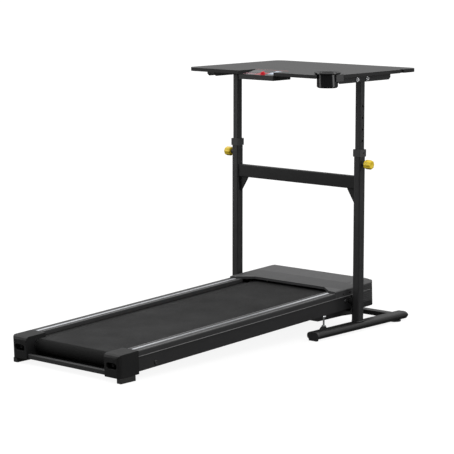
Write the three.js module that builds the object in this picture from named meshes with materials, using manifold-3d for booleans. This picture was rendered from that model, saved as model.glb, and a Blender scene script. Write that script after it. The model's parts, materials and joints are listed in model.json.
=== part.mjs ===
// A walking treadmill whose front end stands between the legs of a height-adjustable desk frame.
// Millimetres, +Z up, +X to the walker's right, +Y the way the walker faces.
// The desk frame is drawn about its uprights, which stand in the plane y = 0, and the deck in its own
// tilted group whose y runs forward from the rear end. The whole is centred at the end of the file.
import * as THREE from "three";
import { mergeVertices } from "three/addons/utils/BufferGeometryUtils.js";
import Module from "manifold-3d";

const wasm = await Module();
wasm.setup();

// ---------- driving dimensions ----------
const GAP = 0.3; // between pieces that touch
const RUNNING_GAP = 0.6; // round a turned or sliding piece

// floor tubes
const UPRIGHT_SPACING = 700;
const FLOOR_TUBE_WIDTH = 62;
const FLOOR_TUBE_HEIGHT = 32;
const FLOOR_TUBE_REAR = 300; // from the upright centre back to the tube end
const FLOOR_TUBE_FRONT = 324;
const FLOOR_TUBE_CLEARANCE = 6; // floor to the underside of the tube
const FLOOR_CAP_LENGTH = 14;
const TUBE_WALL = 2;
const LEVELLING_FOOT_Y = 268;
const LEVELLING_FOOT_RADIUS = 29;
const LEVELLING_FOOT_THICKNESS = 5.5;
const LEVELLING_STUD_RADIUS = 4;
const FRONT_CROSS_Y = 279;
const FRONT_CROSS_DEPTH = 40;
const FRONT_CROSS_HEIGHT = 22;

// uprights
const OUTER_TUBE = 38;
const OUTER_CORNER = 8;
const INNER_TUBE = 30;
const INNER_CORNER = 4;
const OUTER_TUBE_TOP = 788;
const COLLAR_BOTTOM = 764;
const COLLAR_TOP = 795;
const COLLAR_WALL = 3;
const CROSSBAR_BOTTOM = 622;
const CROSSBAR_HEIGHT = 56;
const CROSSBAR_DEPTH = 25;
const GUSSET_WIDTH = 44;
const GUSSET_HEIGHT = 66;
const GUSSET_THICKNESS = 6;
const KNOB_HEIGHT = 732;
const KNOB_RADIUS = 20.5;
const KNOB_LENGTH = 34;
const KNOB_LOBES = 8;
const BOSS_RADIUS = 10;
const BOSS_LENGTH = 14;
const PIN_RADIUS = 4.5;
const INNER_TUBE_BOTTOM = 478;
const HOLE_PITCH = 50;
const HOLE_COUNT = 8;

// desk
const DESK_WIDTH = UPRIGHT_SPACING + 102;
const DESK_REAR = 281; // from the uprights back to the walker's edge
const DESK_FRONT = 349;
const DESK_THICKNESS = 16;
const DESK_TOP = 1130;
const DESK_CORNER = 40;
const CABLE_NOTCH_Y = 232;
const CABLE_NOTCH_LENGTH = 30;
const CABLE_NOTCH_DEPTH = 10;
const ARM_WIDTH = 42;
const ARM_HEIGHT = 26;
const ARM_REAR = 182;
const ARM_FRONT = 188;
const ARM_WALL = 2.5;
const HEAD_REAR = 62;
const HEAD_FRONT = 36;
const ARM_BOLT_YS = [-48, 22];
const ARM_BOLT_RADIUS = 4;
const BOLT_HEAD_RADIUS = 7;

// console
const CONSOLE_WIDTH = 196;
const CONSOLE_DEPTH = 125;
const CONSOLE_CORNER = 14;
const CONSOLE_BOTTOM = DESK_TOP - 37;
const CONSOLE_FRONT_TOP = DESK_TOP - 16;
const CONSOLE_WALL = 3;
const PLATE_THICKNESS = 2.4;

// cup holder
const CUP_X = DESK_WIDTH / 2 - 48;
const CUP_Y = -230;
const CUP_RADIUS = 45;
const CUP_WALL = 2.5;
const CUP_RIM_RADIUS = 56.5;
const CUP_RIM_PROUD = 12;
const CUP_DEPTH = 67;
const CUP_CUT_RADIUS = 54;
const CUP_EAR_END = -180; // y where the ear along the desk's side edge stops

// deck, in its own group
const DECK_TILT = 2.42 * (Math.PI / 180);
const DECK_REAR = 1435; // from the uprights back to the rear end
const DECK_WIDTH = 610;
const DECK_LENGTH = 1630;
const RAIL_TOP = 113;
const RAIL_WIDTH = 60;
const RAIL_SKIRT = 25;
const RAIL_WALL = 3;
const STRIP_WIDTH = 14;
const STRIP_THICKNESS = 1.8;
const STRIP_PROUD = 0.8;
const FRAME_BOTTOM = 28;
const FRAME_WALL = 2.5;
const FRAME_FLANGE = 40;
const CAP_LENGTH = 108;
const CAP_WIDTH = 85;
const CAP_BOTTOM = 19;
const CAP_WALL = 3;
const REAR_FOOT_LENGTH = 84;
const REAR_FOOT_WIDTH = 22;
const REAR_FOOT_INSET = 4; // in from the cap's rear face
const BELT_WIDTH = 430;
const BELT_THICKNESS = 2;
const BELT_TOP = 97;
const ROLLER_RADIUS = 27;
const REAR_ROLLER_Y = 75;
const FRONT_ROLLER_Y = 1412;
const AXLE_RADIUS = 6;
const BOARD_THICKNESS = 18;
const BOARD_WIDTH = 500;
const BOARD_REAR = 110;
const BOARD_FRONT = 1362;
const SHELF_WIDTH = 58;
const FRAME_FRONT = 1455;
const MEMBER_HEIGHT = 9; // the cross members pass under the belt
const MOTOR_PLATE_WIDTH = 500;
const MOTOR_PLATE_FRONT = 1590;
const BEAM_HEIGHT = 20;
const BEAM_BOTTOM = 23;
const BEAM_DEPTH = 16;
const BEAM_TRAY_FRONT = 124; // the beam's foot runs forward under the belt's end
const BEAM_WALL = 3;
const HOOD_REAR = 1392; // the lip over the belt
const HOOD_WING_REAR = 1338; // the hood reaches further back over each rail
const HOOD_LIP_X = 199;
const HOOD_WING_X = 269;
const HOOD_LIP = 121;
const HOOD_STEP = 86; // length of the sloping band behind the raised top
const HOOD_TOP = 133;
const HOOD_BOTTOM = 9;
const HOOD_WALL = 3;
const HOOD_CORNER = 48;
const INLET_X = -180;
const INLET_Z = 45;
const INLET_WIDTH = 28;
const INLET_HEIGHT = 20;
const INLET_DEPTH = 19;
const INLET_WALL = 3;
const VENT_PITCH = 9;
const VENT_COUNT = 8;
const PAN_REAR = 1187;
const PAN_FRONT = 1586;
const PAN_WIDTH = 500;
const PAN_WALL = 2.5;

// links between the desk frame and the deck
const PIVOT_Y = 3;
const PIVOT_HEIGHT = 125;
const PIVOT_RADIUS = 12;
const PIN_TAB_Y = -239;
const PIN_TAB_TOP = 52;
const DECK_PIN_RADIUS = 4;

// drive
const MOTOR_RADIUS = 38;
const MOTOR_LENGTH = 150;
const MOTOR_Y = 1528;
const MOTOR_Z = 74;
const MOTOR_SHAFT_RADIUS = 7;
const MOTOR_PULLEY_RADIUS = 14;
const FRONT_PULLEY_RADIUS = 29;
const PULLEY_WIDTH = 16;
const DRIVE_BELT_THICKNESS = 3;
const DRIVE_BELT_WIDTH = 12;

// ---------- values worked out from them ----------
const SIDES = [
  ["left", -1],
  ["right", 1],
];
const UPRIGHT_X = UPRIGHT_SPACING / 2;
const FLOOR_TUBE_TOP = FLOOR_TUBE_CLEARANCE + FLOOR_TUBE_HEIGHT;
const DESK_UNDERSIDE = DESK_TOP - DESK_THICKNESS;
const ARM_BOTTOM = DESK_UNDERSIDE - GAP - ARM_HEIGHT;
const HALF_DECK = DECK_WIDTH / 2;
const RAIL_INNER = HALF_DECK - RAIL_WIDTH;
const STRIP_X = HALF_DECK - RAIL_WIDTH / 2 - 4;
const FRAME_OUTER = HALF_DECK - RAIL_WALL - GAP;
const FRAME_TOP = RAIL_TOP - RAIL_WALL - GAP;
const CAP_INNER = HALF_DECK - CAP_WIDTH;
const ROLLER_Z = BELT_TOP - BELT_THICKNESS - GAP - ROLLER_RADIUS;
const BOARD_TOP = BELT_TOP - BELT_THICKNESS - GAP;
const BOARD_BOTTOM = BOARD_TOP - BOARD_THICKNESS;

// ---------- finishes ----------
const paint = (color, roughness, metalness) =>
  new THREE.MeshStandardMaterial({ color, roughness, metalness });
const blackPaint = () => paint(0x1b1b1c, 0.42, 0.3);
const blackPlastic = () => paint(0x232324, 0.6, 0);
const glossPlastic = () => paint(0x141415, 0.2, 0);
const charcoal = () => paint(0x3a3a3b, 0.65, 0);
const yellowPlastic = () => paint(0xf2c21a, 0.35, 0);
const silver = () => paint(0xb9bcc0, 0.35, 0.9);
const chrome = () => paint(0xd8dadd, 0.12, 1);
const rubber = () => paint(0x1a1a1a, 0.85, 0);
const beltRubber = () => paint(0x2b2b2c, 0.95, 0);
const board = () => paint(0x2a2623, 0.7, 0);

// ---------- solids ----------
// A closed three.js geometry becomes a solid that can be joined and cut.
function solid(geometry) {
  const bare = geometry.index ? geometry.toNonIndexed() : geometry.clone();
  bare.deleteAttribute("normal");
  bare.deleteAttribute("uv");
  const merged = mergeVertices(bare, 1e-3);
  return new wasm.Manifold(
    new wasm.Mesh({
      numProp: 3,
      vertProperties: merged.attributes.position.array,
      triVerts: new Uint32Array(merged.index.array),
    }),
  );
}

function geometryOf(body) {
  const made = body.getMesh();
  const geometry = new THREE.BufferGeometry();
  geometry.setAttribute("position", new THREE.BufferAttribute(made.vertProperties, 3));
  geometry.setIndex(new THREE.BufferAttribute(made.triVerts, 1));
  return geometry;
}

const joined = (first, ...rest) => rest.reduce((sum, next) => sum.add(next), first);
const cut = (body, ...tools) => tools.reduce((left, tool) => left.subtract(tool), body);

// A box between two corners.
function block(x0, y0, z0, x1, y1, z1) {
  const geometry = new THREE.BoxGeometry(x1 - x0, y1 - y0, z1 - z0);
  geometry.translate((x0 + x1) / 2, (y0 + y1) / 2, (z0 + z1) / 2);
  return solid(geometry);
}

// A round bar from one point along an axis.
function rod(radius, length, axis, x, y, z, sides = 16) {
  const geometry = new THREE.CylinderGeometry(radius, radius, length, sides);
  geometry.translate(0, length / 2, 0);
  if (axis === "x") geometry.rotateZ(-Math.PI / 2);
  if (axis === "z") geometry.rotateX(Math.PI / 2);
  geometry.translate(x, y, z);
  return solid(geometry);
}

function extrusion(shape, depth, curveSegments) {
  return new THREE.ExtrudeGeometry(shape, { depth, bevelEnabled: false, curveSegments });
}

// Outlines drawn in (x, y), (x, z) or (y, z), pushed along the remaining axis.
function alongZ(shape, z0, z1, curveSegments = 1) {
  const geometry = extrusion(shape, z1 - z0, curveSegments);
  geometry.translate(0, 0, z0);
  return solid(geometry);
}
function alongY(shape, y0, y1, curveSegments = 1) {
  const geometry = extrusion(shape, y1 - y0, curveSegments);
  geometry.rotateX(Math.PI / 2);
  geometry.translate(0, y1, 0);
  return solid(geometry);
}
function alongX(shape, x0, x1, curveSegments = 1) {
  const geometry = extrusion(shape, x1 - x0, curveSegments);
  geometry.rotateY(Math.PI / 2);
  geometry.rotateX(Math.PI / 2);
  geometry.translate(x0, 0, 0);
  return solid(geometry);
}

function polygon(points) {
  return new THREE.Shape(points.map(([u, v]) => new THREE.Vector2(u, v)));
}

// A rectangle between two corners with rounded corners; radii run round from the low corner.
function roundedRect(u0, v0, u1, v1, radius) {
  const [a, b, c, d] = Array.isArray(radius) ? radius : [radius, radius, radius, radius];
  const shape = new THREE.Shape();
  shape.moveTo(u0 + a, v0);
  shape.lineTo(u1 - b, v0);
  if (b > 0) shape.absarc(u1 - b, v0 + b, b, -Math.PI / 2, 0, false);
  shape.lineTo(u1, v1 - c);
  if (c > 0) shape.absarc(u1 - c, v1 - c, c, 0, Math.PI / 2, false);
  shape.lineTo(u0 + d, v1);
  if (d > 0) shape.absarc(u0 + d, v1 - d, d, Math.PI / 2, Math.PI, false);
  shape.lineTo(u0, v0 + a);
  if (a > 0) shape.absarc(u0 + a, v0 + a, a, Math.PI, (3 * Math.PI) / 2, false);
  return shape;
}

// A square tube standing along z, open at both ends.
function squareTube(x, y, size, corner, wall, z0, z1) {
  const half = size / 2;
  const bore = half - wall;
  const outside = roundedRect(x - half, y - half, x + half, y + half, corner);
  const inside = roundedRect(x - bore, y - bore, x + bore, y + bore, Math.max(corner - wall, 0.5));
  return cut(alongZ(outside, z0, z1, 3), alongZ(inside, z0 - 1, z1 + 1, 3));
}

// ---------- scene ----------
const treadmill = new THREE.Group();
const deck = new THREE.Group();
deck.position.set(0, -DECK_REAR, 0);
deck.rotation.x = DECK_TILT;
treadmill.add(deck);

function place(name, body, material, group = treadmill) {
  const mesh = new THREE.Mesh(geometryOf(body), material);
  mesh.name = name;
  group.add(mesh);
  return mesh;
}

// ---------- floor tubes ----------
function flatOval(x, width, height, z0) {
  return roundedRect(x - width / 2, z0, x + width / 2, z0 + height, height / 2 - 0.5);
}

function floorTube(side, sign) {
  const x = sign * UPRIGHT_X;
  const tubeRear = -FLOOR_TUBE_REAR;
  const tube = cut(
    alongY(
      flatOval(x, FLOOR_TUBE_WIDTH, FLOOR_TUBE_HEIGHT, FLOOR_TUBE_CLEARANCE),
      tubeRear,
      FLOOR_TUBE_FRONT,
      2,
    ),
    alongY(
      flatOval(
        x,
        FLOOR_TUBE_WIDTH - 2 * TUBE_WALL,
        FLOOR_TUBE_HEIGHT - 2 * TUBE_WALL,
        FLOOR_TUBE_CLEARANCE + TUBE_WALL,
      ),
      tubeRear - 1,
      FLOOR_TUBE_FRONT + 1,
      2,
    ),
    rod(LEVELLING_STUD_RADIUS + RUNNING_GAP, FLOOR_TUBE_HEIGHT / 2, "z", x, LEVELLING_FOOT_Y, 0, 12),
  );
  // Welded on: the plate and boss that carry the deck, and the tab that holds the deck pin.
  const plateX = sign > 0 ? x - FLOOR_TUBE_WIDTH / 2 + 2 : x + FLOOR_TUBE_WIDTH / 2 - 7;
  const bossInner = HALF_DECK - RAIL_WALL + GAP;
  const bossOuter = UPRIGHT_X - FLOOR_TUBE_WIDTH / 2 + 4;
  const carrier = joined(
    block(plateX, PIVOT_Y - 9, FLOOR_TUBE_TOP - 4, plateX + 5, PIVOT_Y + 34, PIVOT_HEIGHT + 17),
    rod(
      PIVOT_RADIUS,
      bossOuter - bossInner,
      "x",
      sign > 0 ? bossInner : -bossOuter,
      PIVOT_Y,
      PIVOT_HEIGHT,
    ),
  );
  const tab = alongX(
    polygon([
      [PIN_TAB_Y - 26, FLOOR_TUBE_TOP - 1],
      [PIN_TAB_Y + 14, FLOOR_TUBE_TOP - 1],
      [PIN_TAB_Y + 8, PIN_TAB_TOP],
      [PIN_TAB_Y - 8, PIN_TAB_TOP],
    ]),
    x - 8,
    x + 8,
  );
  const pinBore = rod(DECK_PIN_RADIUS + RUNNING_GAP, 60, "z", x, PIN_TAB_Y, FLOOR_TUBE_TOP - 12, 12);
  place("floor_tube_" + side, cut(joined(tube, carrier, tab), pinBore), blackPaint());

  const grip = PIN_TAB_TOP + 41;
  const deckPin = joined(
    rod(DECK_PIN_RADIUS, grip - FLOOR_TUBE_TOP + 8, "z", x, PIN_TAB_Y, FLOOR_TUBE_TOP - 8, 12),
    rod(9, 4, "z", x, PIN_TAB_Y, PIN_TAB_TOP + GAP, 16),
    rod(DECK_PIN_RADIUS, 13, "y", x, PIN_TAB_Y - 2, grip, 12),
    solid(new THREE.SphereGeometry(DECK_PIN_RADIUS + 0.6, 10, 6).translate(x, PIN_TAB_Y, grip)),
  );
  place("deck_pin_" + side, deckPin, chrome());

  // The rear cap plugs the tube and carries a pad that stands on the floor.
  const plugWidth = FLOOR_TUBE_WIDTH - 2 * TUBE_WALL - 2 * GAP;
  const plugHeight = FLOOR_TUBE_HEIGHT - 2 * TUBE_WALL - 2 * GAP;
  const plugBottom = FLOOR_TUBE_CLEARANCE + TUBE_WALL + GAP;
  const capFace = alongY(
    flatOval(x, FLOOR_TUBE_WIDTH, FLOOR_TUBE_HEIGHT, FLOOR_TUBE_CLEARANCE),
    tubeRear - FLOOR_CAP_LENGTH,
    tubeRear - GAP,
    2,
  );
  const plug = alongY(flatOval(x, plugWidth, plugHeight, plugBottom), tubeRear - 1, tubeRear + 18, 1);
  const pad = block(
    x - FLOOR_TUBE_WIDTH / 2 + 10,
    tubeRear - FLOOR_CAP_LENGTH,
    0,
    x + FLOOR_TUBE_WIDTH / 2 - 10,
    tubeRear - GAP,
    FLOOR_TUBE_CLEARANCE + 4,
  );
  place("floor_cap_rear_" + side, joined(capFace, plug, pad), blackPlastic());

  // The front cap is a rounded nose.
  const nose = new THREE.SphereGeometry(1, 16, 8);
  nose.scale(FLOOR_TUBE_WIDTH / 2, FLOOR_CAP_LENGTH + 8, FLOOR_TUBE_HEIGHT / 2);
  nose.translate(x, FLOOR_TUBE_FRONT + GAP, FLOOR_TUBE_CLEARANCE + FLOOR_TUBE_HEIGHT / 2);
  const frontHalf = block(
    x - FLOOR_TUBE_WIDTH,
    FLOOR_TUBE_FRONT + GAP,
    0,
    x + FLOOR_TUBE_WIDTH,
    FLOOR_TUBE_FRONT + 100,
    FLOOR_TUBE_TOP + 10,
  );
  const frontPlug = alongY(
    flatOval(x, plugWidth, plugHeight, plugBottom),
    FLOOR_TUBE_FRONT - 18,
    FLOOR_TUBE_FRONT + 2,
    1,
  );
  place("floor_cap_front_" + side, joined(solid(nose).intersect(frontHalf), frontPlug), blackPlastic());

  const disc = rod(LEVELLING_FOOT_RADIUS, LEVELLING_FOOT_THICKNESS, "z", x, LEVELLING_FOOT_Y, 0, 20);
  const stud = rod(LEVELLING_STUD_RADIUS, FLOOR_TUBE_CLEARANCE + 10, "z", x, LEVELLING_FOOT_Y, 2, 12);
  place("levelling_foot_" + side, joined(disc, stud), rubber());
}
SIDES.forEach(([side, sign]) => floorTube(side, sign));

// The cross tube ties the floor tubes together in front of the deck.
function frontCrossTube() {
  const reach = UPRIGHT_X - FLOOR_TUBE_WIDTH / 2 - GAP;
  const z0 = FLOOR_TUBE_CLEARANCE + (FLOOR_TUBE_HEIGHT - FRONT_CROSS_HEIGHT) / 2;
  const section = (inset) =>
    roundedRect(
      FRONT_CROSS_Y - FRONT_CROSS_DEPTH / 2 + inset,
      z0 + inset,
      FRONT_CROSS_Y + FRONT_CROSS_DEPTH / 2 - inset,
      z0 + FRONT_CROSS_HEIGHT - inset,
      3,
    );
  const tube = cut(alongX(section(0), -reach, reach), alongX(section(TUBE_WALL), -reach - 1, reach + 1));
  place("front_cross_tube", tube, blackPaint());
}
frontCrossTube();

// ---------- uprights ----------
const KNOB_INNER = OUTER_TUBE / 2 + BOSS_LENGTH + RUNNING_GAP; // from the upright centre

function upright(side, sign) {
  const x = sign * UPRIGHT_X;
  const face = x + (sign * OUTER_TUBE) / 2;
  const pinHole = rod(PIN_RADIUS + RUNNING_GAP, 30, "x", face - 15, 0, KNOB_HEIGHT, 14);
  const bossStart = sign > 0 ? face - 1 : face + 1 - BOSS_LENGTH;
  const tube = cut(
    joined(
      squareTube(x, 0, OUTER_TUBE, OUTER_CORNER, TUBE_WALL, FLOOR_TUBE_TOP + GAP, OUTER_TUBE_TOP),
      rod(BOSS_RADIUS, BOSS_LENGTH, "x", bossStart, 0, KNOB_HEIGHT, 14),
    ),
    rod(PIN_RADIUS + RUNNING_GAP, 40, "x", sign > 0 ? face - 15 : face - 25, 0, KNOB_HEIGHT, 14),
  );
  place("outer_upright_" + side, tube, blackPaint());

  // The collar is a plastic sleeve on the tube's mouth with a lip that guides the inner tube.
  const collarSize = OUTER_TUBE + 2 * COLLAR_WALL;
  const half = collarSize / 2;
  const sleeveBore = OUTER_TUBE / 2 + GAP;
  const guideBore = INNER_TUBE / 2 + RUNNING_GAP;
  const collar = cut(
    alongZ(roundedRect(x - half, -half, x + half, half, 6), COLLAR_BOTTOM, COLLAR_TOP),
    alongZ(
      roundedRect(x - sleeveBore, -sleeveBore, x + sleeveBore, sleeveBore, OUTER_CORNER),
      COLLAR_BOTTOM - 1,
      OUTER_TUBE_TOP + GAP,
      3,
    ),
    alongZ(
      roundedRect(x - guideBore, -guideBore, x + guideBore, guideBore, INNER_CORNER),
      COLLAR_BOTTOM,
      COLLAR_TOP + 1,
      3,
    ),
  );
  place("collar_" + side, collar, blackPlastic());

  // The pin's tip stops just clear of the inner tube; its outer end carries the lobed knob.
  const tip = x + sign * (INNER_TUBE / 2 + GAP);
  const pinEnd = x + sign * (KNOB_INNER + KNOB_LENGTH - 8);
  const pin = rod(PIN_RADIUS, Math.abs(pinEnd - tip), "x", Math.min(tip, pinEnd), 0, KNOB_HEIGHT, 14);
  place("lock_pin_" + side, pin, chrome());

  const lobes = new THREE.Shape();
  const steps = KNOB_LOBES * 4;
  for (let i = 0; i < steps; i++) {
    const angle = (i / steps) * 2 * Math.PI;
    const radius = KNOB_RADIUS - 1.4 + 1.4 * Math.cos(angle * KNOB_LOBES);
    const point = [radius * Math.cos(angle), KNOB_HEIGHT + radius * Math.sin(angle)];
    if (i === 0) lobes.moveTo(...point);
    else lobes.lineTo(...point);
  }
  const knobStart = sign > 0 ? x + KNOB_INNER : x - KNOB_INNER - KNOB_LENGTH;
  const socketStart = knobStart + (sign > 0 ? -1 : 7);
  const pinSocket = rod(PIN_RADIUS + GAP, KNOB_LENGTH - 6, "x", socketStart, 0, KNOB_HEIGHT, 14);
  const knob = cut(alongX(lobes, knobStart, knobStart + KNOB_LENGTH), pinSocket);
  place("lock_knob_" + side, knob, yellowPlastic());
}
SIDES.forEach(([side, sign]) => upright(side, sign));

// The crossbar carries a triangular gusset at each end, against the upright's inner face.
function crossbar() {
  const reach = UPRIGHT_X - OUTER_TUBE / 2 - GAP;
  const half = CROSSBAR_DEPTH / 2;
  const top = CROSSBAR_BOTTOM + CROSSBAR_HEIGHT;
  const section = (inset) =>
    roundedRect(-half + inset, CROSSBAR_BOTTOM + inset, half - inset, top - inset, 3);
  const bar = cut(alongX(section(0), -reach, reach), alongX(section(TUBE_WALL), -reach - 1, reach + 1));
  const gussets = SIDES.map(([, sign]) => {
    const at = (inward, drop) => [sign * (reach - inward), CROSSBAR_BOTTOM + 1 - drop];
    const outline = [
      at(0, 0),
      at(GUSSET_WIDTH, 0),
      at(GUSSET_WIDTH, 6),
      at(6, GUSSET_HEIGHT),
      at(0, GUSSET_HEIGHT),
    ];
    return alongY(polygon(outline), -GUSSET_THICKNESS / 2, GUSSET_THICKNESS / 2);
  });
  place("crossbar", joined(bar, ...gussets), blackPaint());
}
crossbar();

// ---------- desk ----------
function innerUpright(sign) {
  const x = sign * UPRIGHT_X;
  const top = ARM_BOTTOM + ARM_HEIGHT - ARM_WALL - GAP;
  let tube = squareTube(x, 0, INNER_TUBE, INNER_CORNER, TUBE_WALL, INNER_TUBE_BOTTOM, top);
  for (let i = 0; i < HOLE_COUNT; i++) {
    const z = KNOB_HEIGHT + (i - 2) * HOLE_PITCH;
    const start = sign > 0 ? x : x - INNER_TUBE;
    tube = cut(tube, rod(PIN_RADIUS + 0.5, INNER_TUBE, "x", start, 0, z, 10));
  }
  return tube;
}

function deskArm(side, sign) {
  const x = sign * UPRIGHT_X;
  const half = ARM_WIDTH / 2;
  const top = ARM_BOTTOM + ARM_HEIGHT;
  const boltZ = ARM_BOTTOM + 12;
  // An inverted channel: web against the desk, flanges down, ends cut back at a slant.
  const outside = polygon([
    [-ARM_REAR + 12, ARM_BOTTOM],
    [ARM_FRONT - 12, ARM_BOTTOM],
    [ARM_FRONT, ARM_BOTTOM + 10],
    [ARM_FRONT, top],
    [-ARM_REAR, top],
    [-ARM_REAR, ARM_BOTTOM + 10],
  ]);
  const hollow = block(
    x - half + ARM_WALL,
    -ARM_REAR + ARM_WALL,
    ARM_BOTTOM - 1,
    x + half - ARM_WALL,
    ARM_FRONT - ARM_WALL,
    top - ARM_WALL,
  );
  const boltHoles = ARM_BOLT_YS.map((y) =>
    rod(ARM_BOLT_RADIUS + RUNNING_GAP, ARM_WIDTH + 2, "x", x - half - 1, y, boltZ, 8),
  );
  place("desk_arm_" + side, cut(alongX(outside, x - half, x + half), hollow, ...boltHoles), blackPaint());

  // The head is a cap welded to the inner tube, clamped between the flanges by two bolts.
  const headHalf = half - ARM_WALL - GAP;
  const headTop = top - ARM_WALL - GAP;
  const head = cut(
    block(x - headHalf, -HEAD_REAR, ARM_BOTTOM + 2, x + headHalf, HEAD_FRONT, headTop),
    ...[
      [-HEAD_REAR + ARM_WALL, -INNER_TUBE / 2 - 4],
      [INNER_TUBE / 2 + 4, HEAD_FRONT - ARM_WALL],
    ].map(([y0, y1]) =>
      block(x - headHalf + ARM_WALL, y0, ARM_BOTTOM + 1, x + headHalf - ARM_WALL, y1, headTop - ARM_WALL),
    ),
    ...boltHoles,
  );
  place("inner_upright_" + side, joined(head, innerUpright(sign)), blackPaint());

  ARM_BOLT_YS.forEach((y, index) => {
    const outward = x + sign * (half + GAP);
    const headStart = sign > 0 ? outward : outward - 6;
    const shankLength = ARM_WIDTH - 2;
    const shankStart = sign > 0 ? outward - shankLength : outward - 1;
    const bolt = joined(
      rod(BOLT_HEAD_RADIUS, 6, "x", headStart, y, boltZ, 16),
      rod(BOLT_HEAD_RADIUS + 3, 1.6, "x", sign > 0 ? outward : outward - 1.6, y, boltZ, 16),
      rod(ARM_BOLT_RADIUS, shankLength + 1, "x", shankStart, y, boltZ, 8),
    );
    const socket = new THREE.CylinderGeometry(3.4, 3.4, 8, 6);
    socket.rotateZ(Math.PI / 2);
    socket.translate(outward + sign * 7, y, boltZ);
    place("arm_bolt_" + side + "_" + (index + 1), cut(bolt, solid(socket)), chrome());
  });
}
SIDES.forEach(([side, sign]) => deskArm(side, sign));

const CONSOLE_REAR = -DESK_REAR; // the console's face is flush with the walker's edge
const CONSOLE_FRONT = CONSOLE_REAR + CONSOLE_DEPTH;

function deskTop() {
  const half = DESK_WIDTH / 2;
  const z0 = DESK_UNDERSIDE;
  const panel = alongZ(roundedRect(-half, -DESK_REAR, half, DESK_FRONT, DESK_CORNER), z0, DESK_TOP, 4);
  const notch = alongZ(
    roundedRect(
      -CONSOLE_WIDTH / 2,
      CONSOLE_REAR - 40,
      CONSOLE_WIDTH / 2,
      CONSOLE_FRONT,
      [0, 0, CONSOLE_CORNER, CONSOLE_CORNER],
    ),
    z0 - 1,
    DESK_TOP + 1,
    2,
  );
  // The corner in front of the cup is cut away and the ear takes a bite of the side edge.
  const corner = joined(
    rod(CUP_CUT_RADIUS, DESK_THICKNESS + 2, "z", CUP_X, CUP_Y, z0 - 1, 32),
    block(CUP_X, -DESK_REAR - 1, z0 - 1, half + 1, CUP_Y, DESK_TOP + 1),
    block(CUP_X + 14, CUP_Y, z0 - 1, half + 1, CUP_EAR_END, DESK_TOP + 1),
  );
  const cableNotch = block(
    half - CABLE_NOTCH_DEPTH,
    CABLE_NOTCH_Y - CABLE_NOTCH_LENGTH / 2,
    z0 - 1,
    half + 1,
    CABLE_NOTCH_Y + CABLE_NOTCH_LENGTH / 2,
    DESK_TOP + 1,
  );
  place("desk_top", cut(panel, notch, corner, cableNotch), charcoal());
}
deskTop();

function cupHolder() {
  const top = DESK_TOP + CUP_RIM_PROUD;
  const bottom = top - CUP_DEPTH;
  const half = DESK_WIDTH / 2;
  const profile = [
    [0, bottom],
    [CUP_RADIUS - 5, bottom],
    [CUP_RADIUS, bottom + 5],
    [CUP_RADIUS, top - 10],
    [CUP_RIM_RADIUS - 3, top - 9],
    [CUP_RIM_RADIUS, top - 6],
    [CUP_RIM_RADIUS - 1, top - 1.5],
    [CUP_RIM_RADIUS - 5, top],
    [CUP_RADIUS - CUP_WALL + 2, top - 1],
    [CUP_RADIUS - CUP_WALL - 1, top - 5],
    [CUP_RADIUS - CUP_WALL - 3, bottom + CUP_WALL],
    [0, bottom + CUP_WALL],
  ];
  const bowl = new THREE.LatheGeometry(profile.map(([r, z]) => new THREE.Vector2(r, z)), 28);
  bowl.rotateX(Math.PI / 2);
  bowl.translate(CUP_X, CUP_Y, 0);
  const bore = rod(CUP_RADIUS - CUP_WALL, CUP_DEPTH, "z", CUP_X, CUP_Y, bottom + CUP_WALL + 2, 28);
  // The ear fills the bite in the desk's side edge, with a flange that screws up under the desk.
  const flangeX = UPRIGHT_X + ARM_WIDTH / 2 + 1;
  const flangeBottom = DESK_UNDERSIDE - 12;
  const ear = cut(
    joined(
      block(CUP_X + 14 + GAP, CUP_Y, DESK_UNDERSIDE, half, CUP_EAR_END - GAP, DESK_TOP + 1),
      block(flangeX, CUP_Y, flangeBottom, half, CUP_EAR_END - GAP, DESK_UNDERSIDE + 1),
      block(flangeX, CUP_Y, flangeBottom, half - 2, CUP_EAR_END + 4, DESK_UNDERSIDE - GAP),
    ),
    bore,
  );
  place("cup_holder", joined(solid(bowl), ear), glossPlastic());
}
cupHolder();

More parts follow.
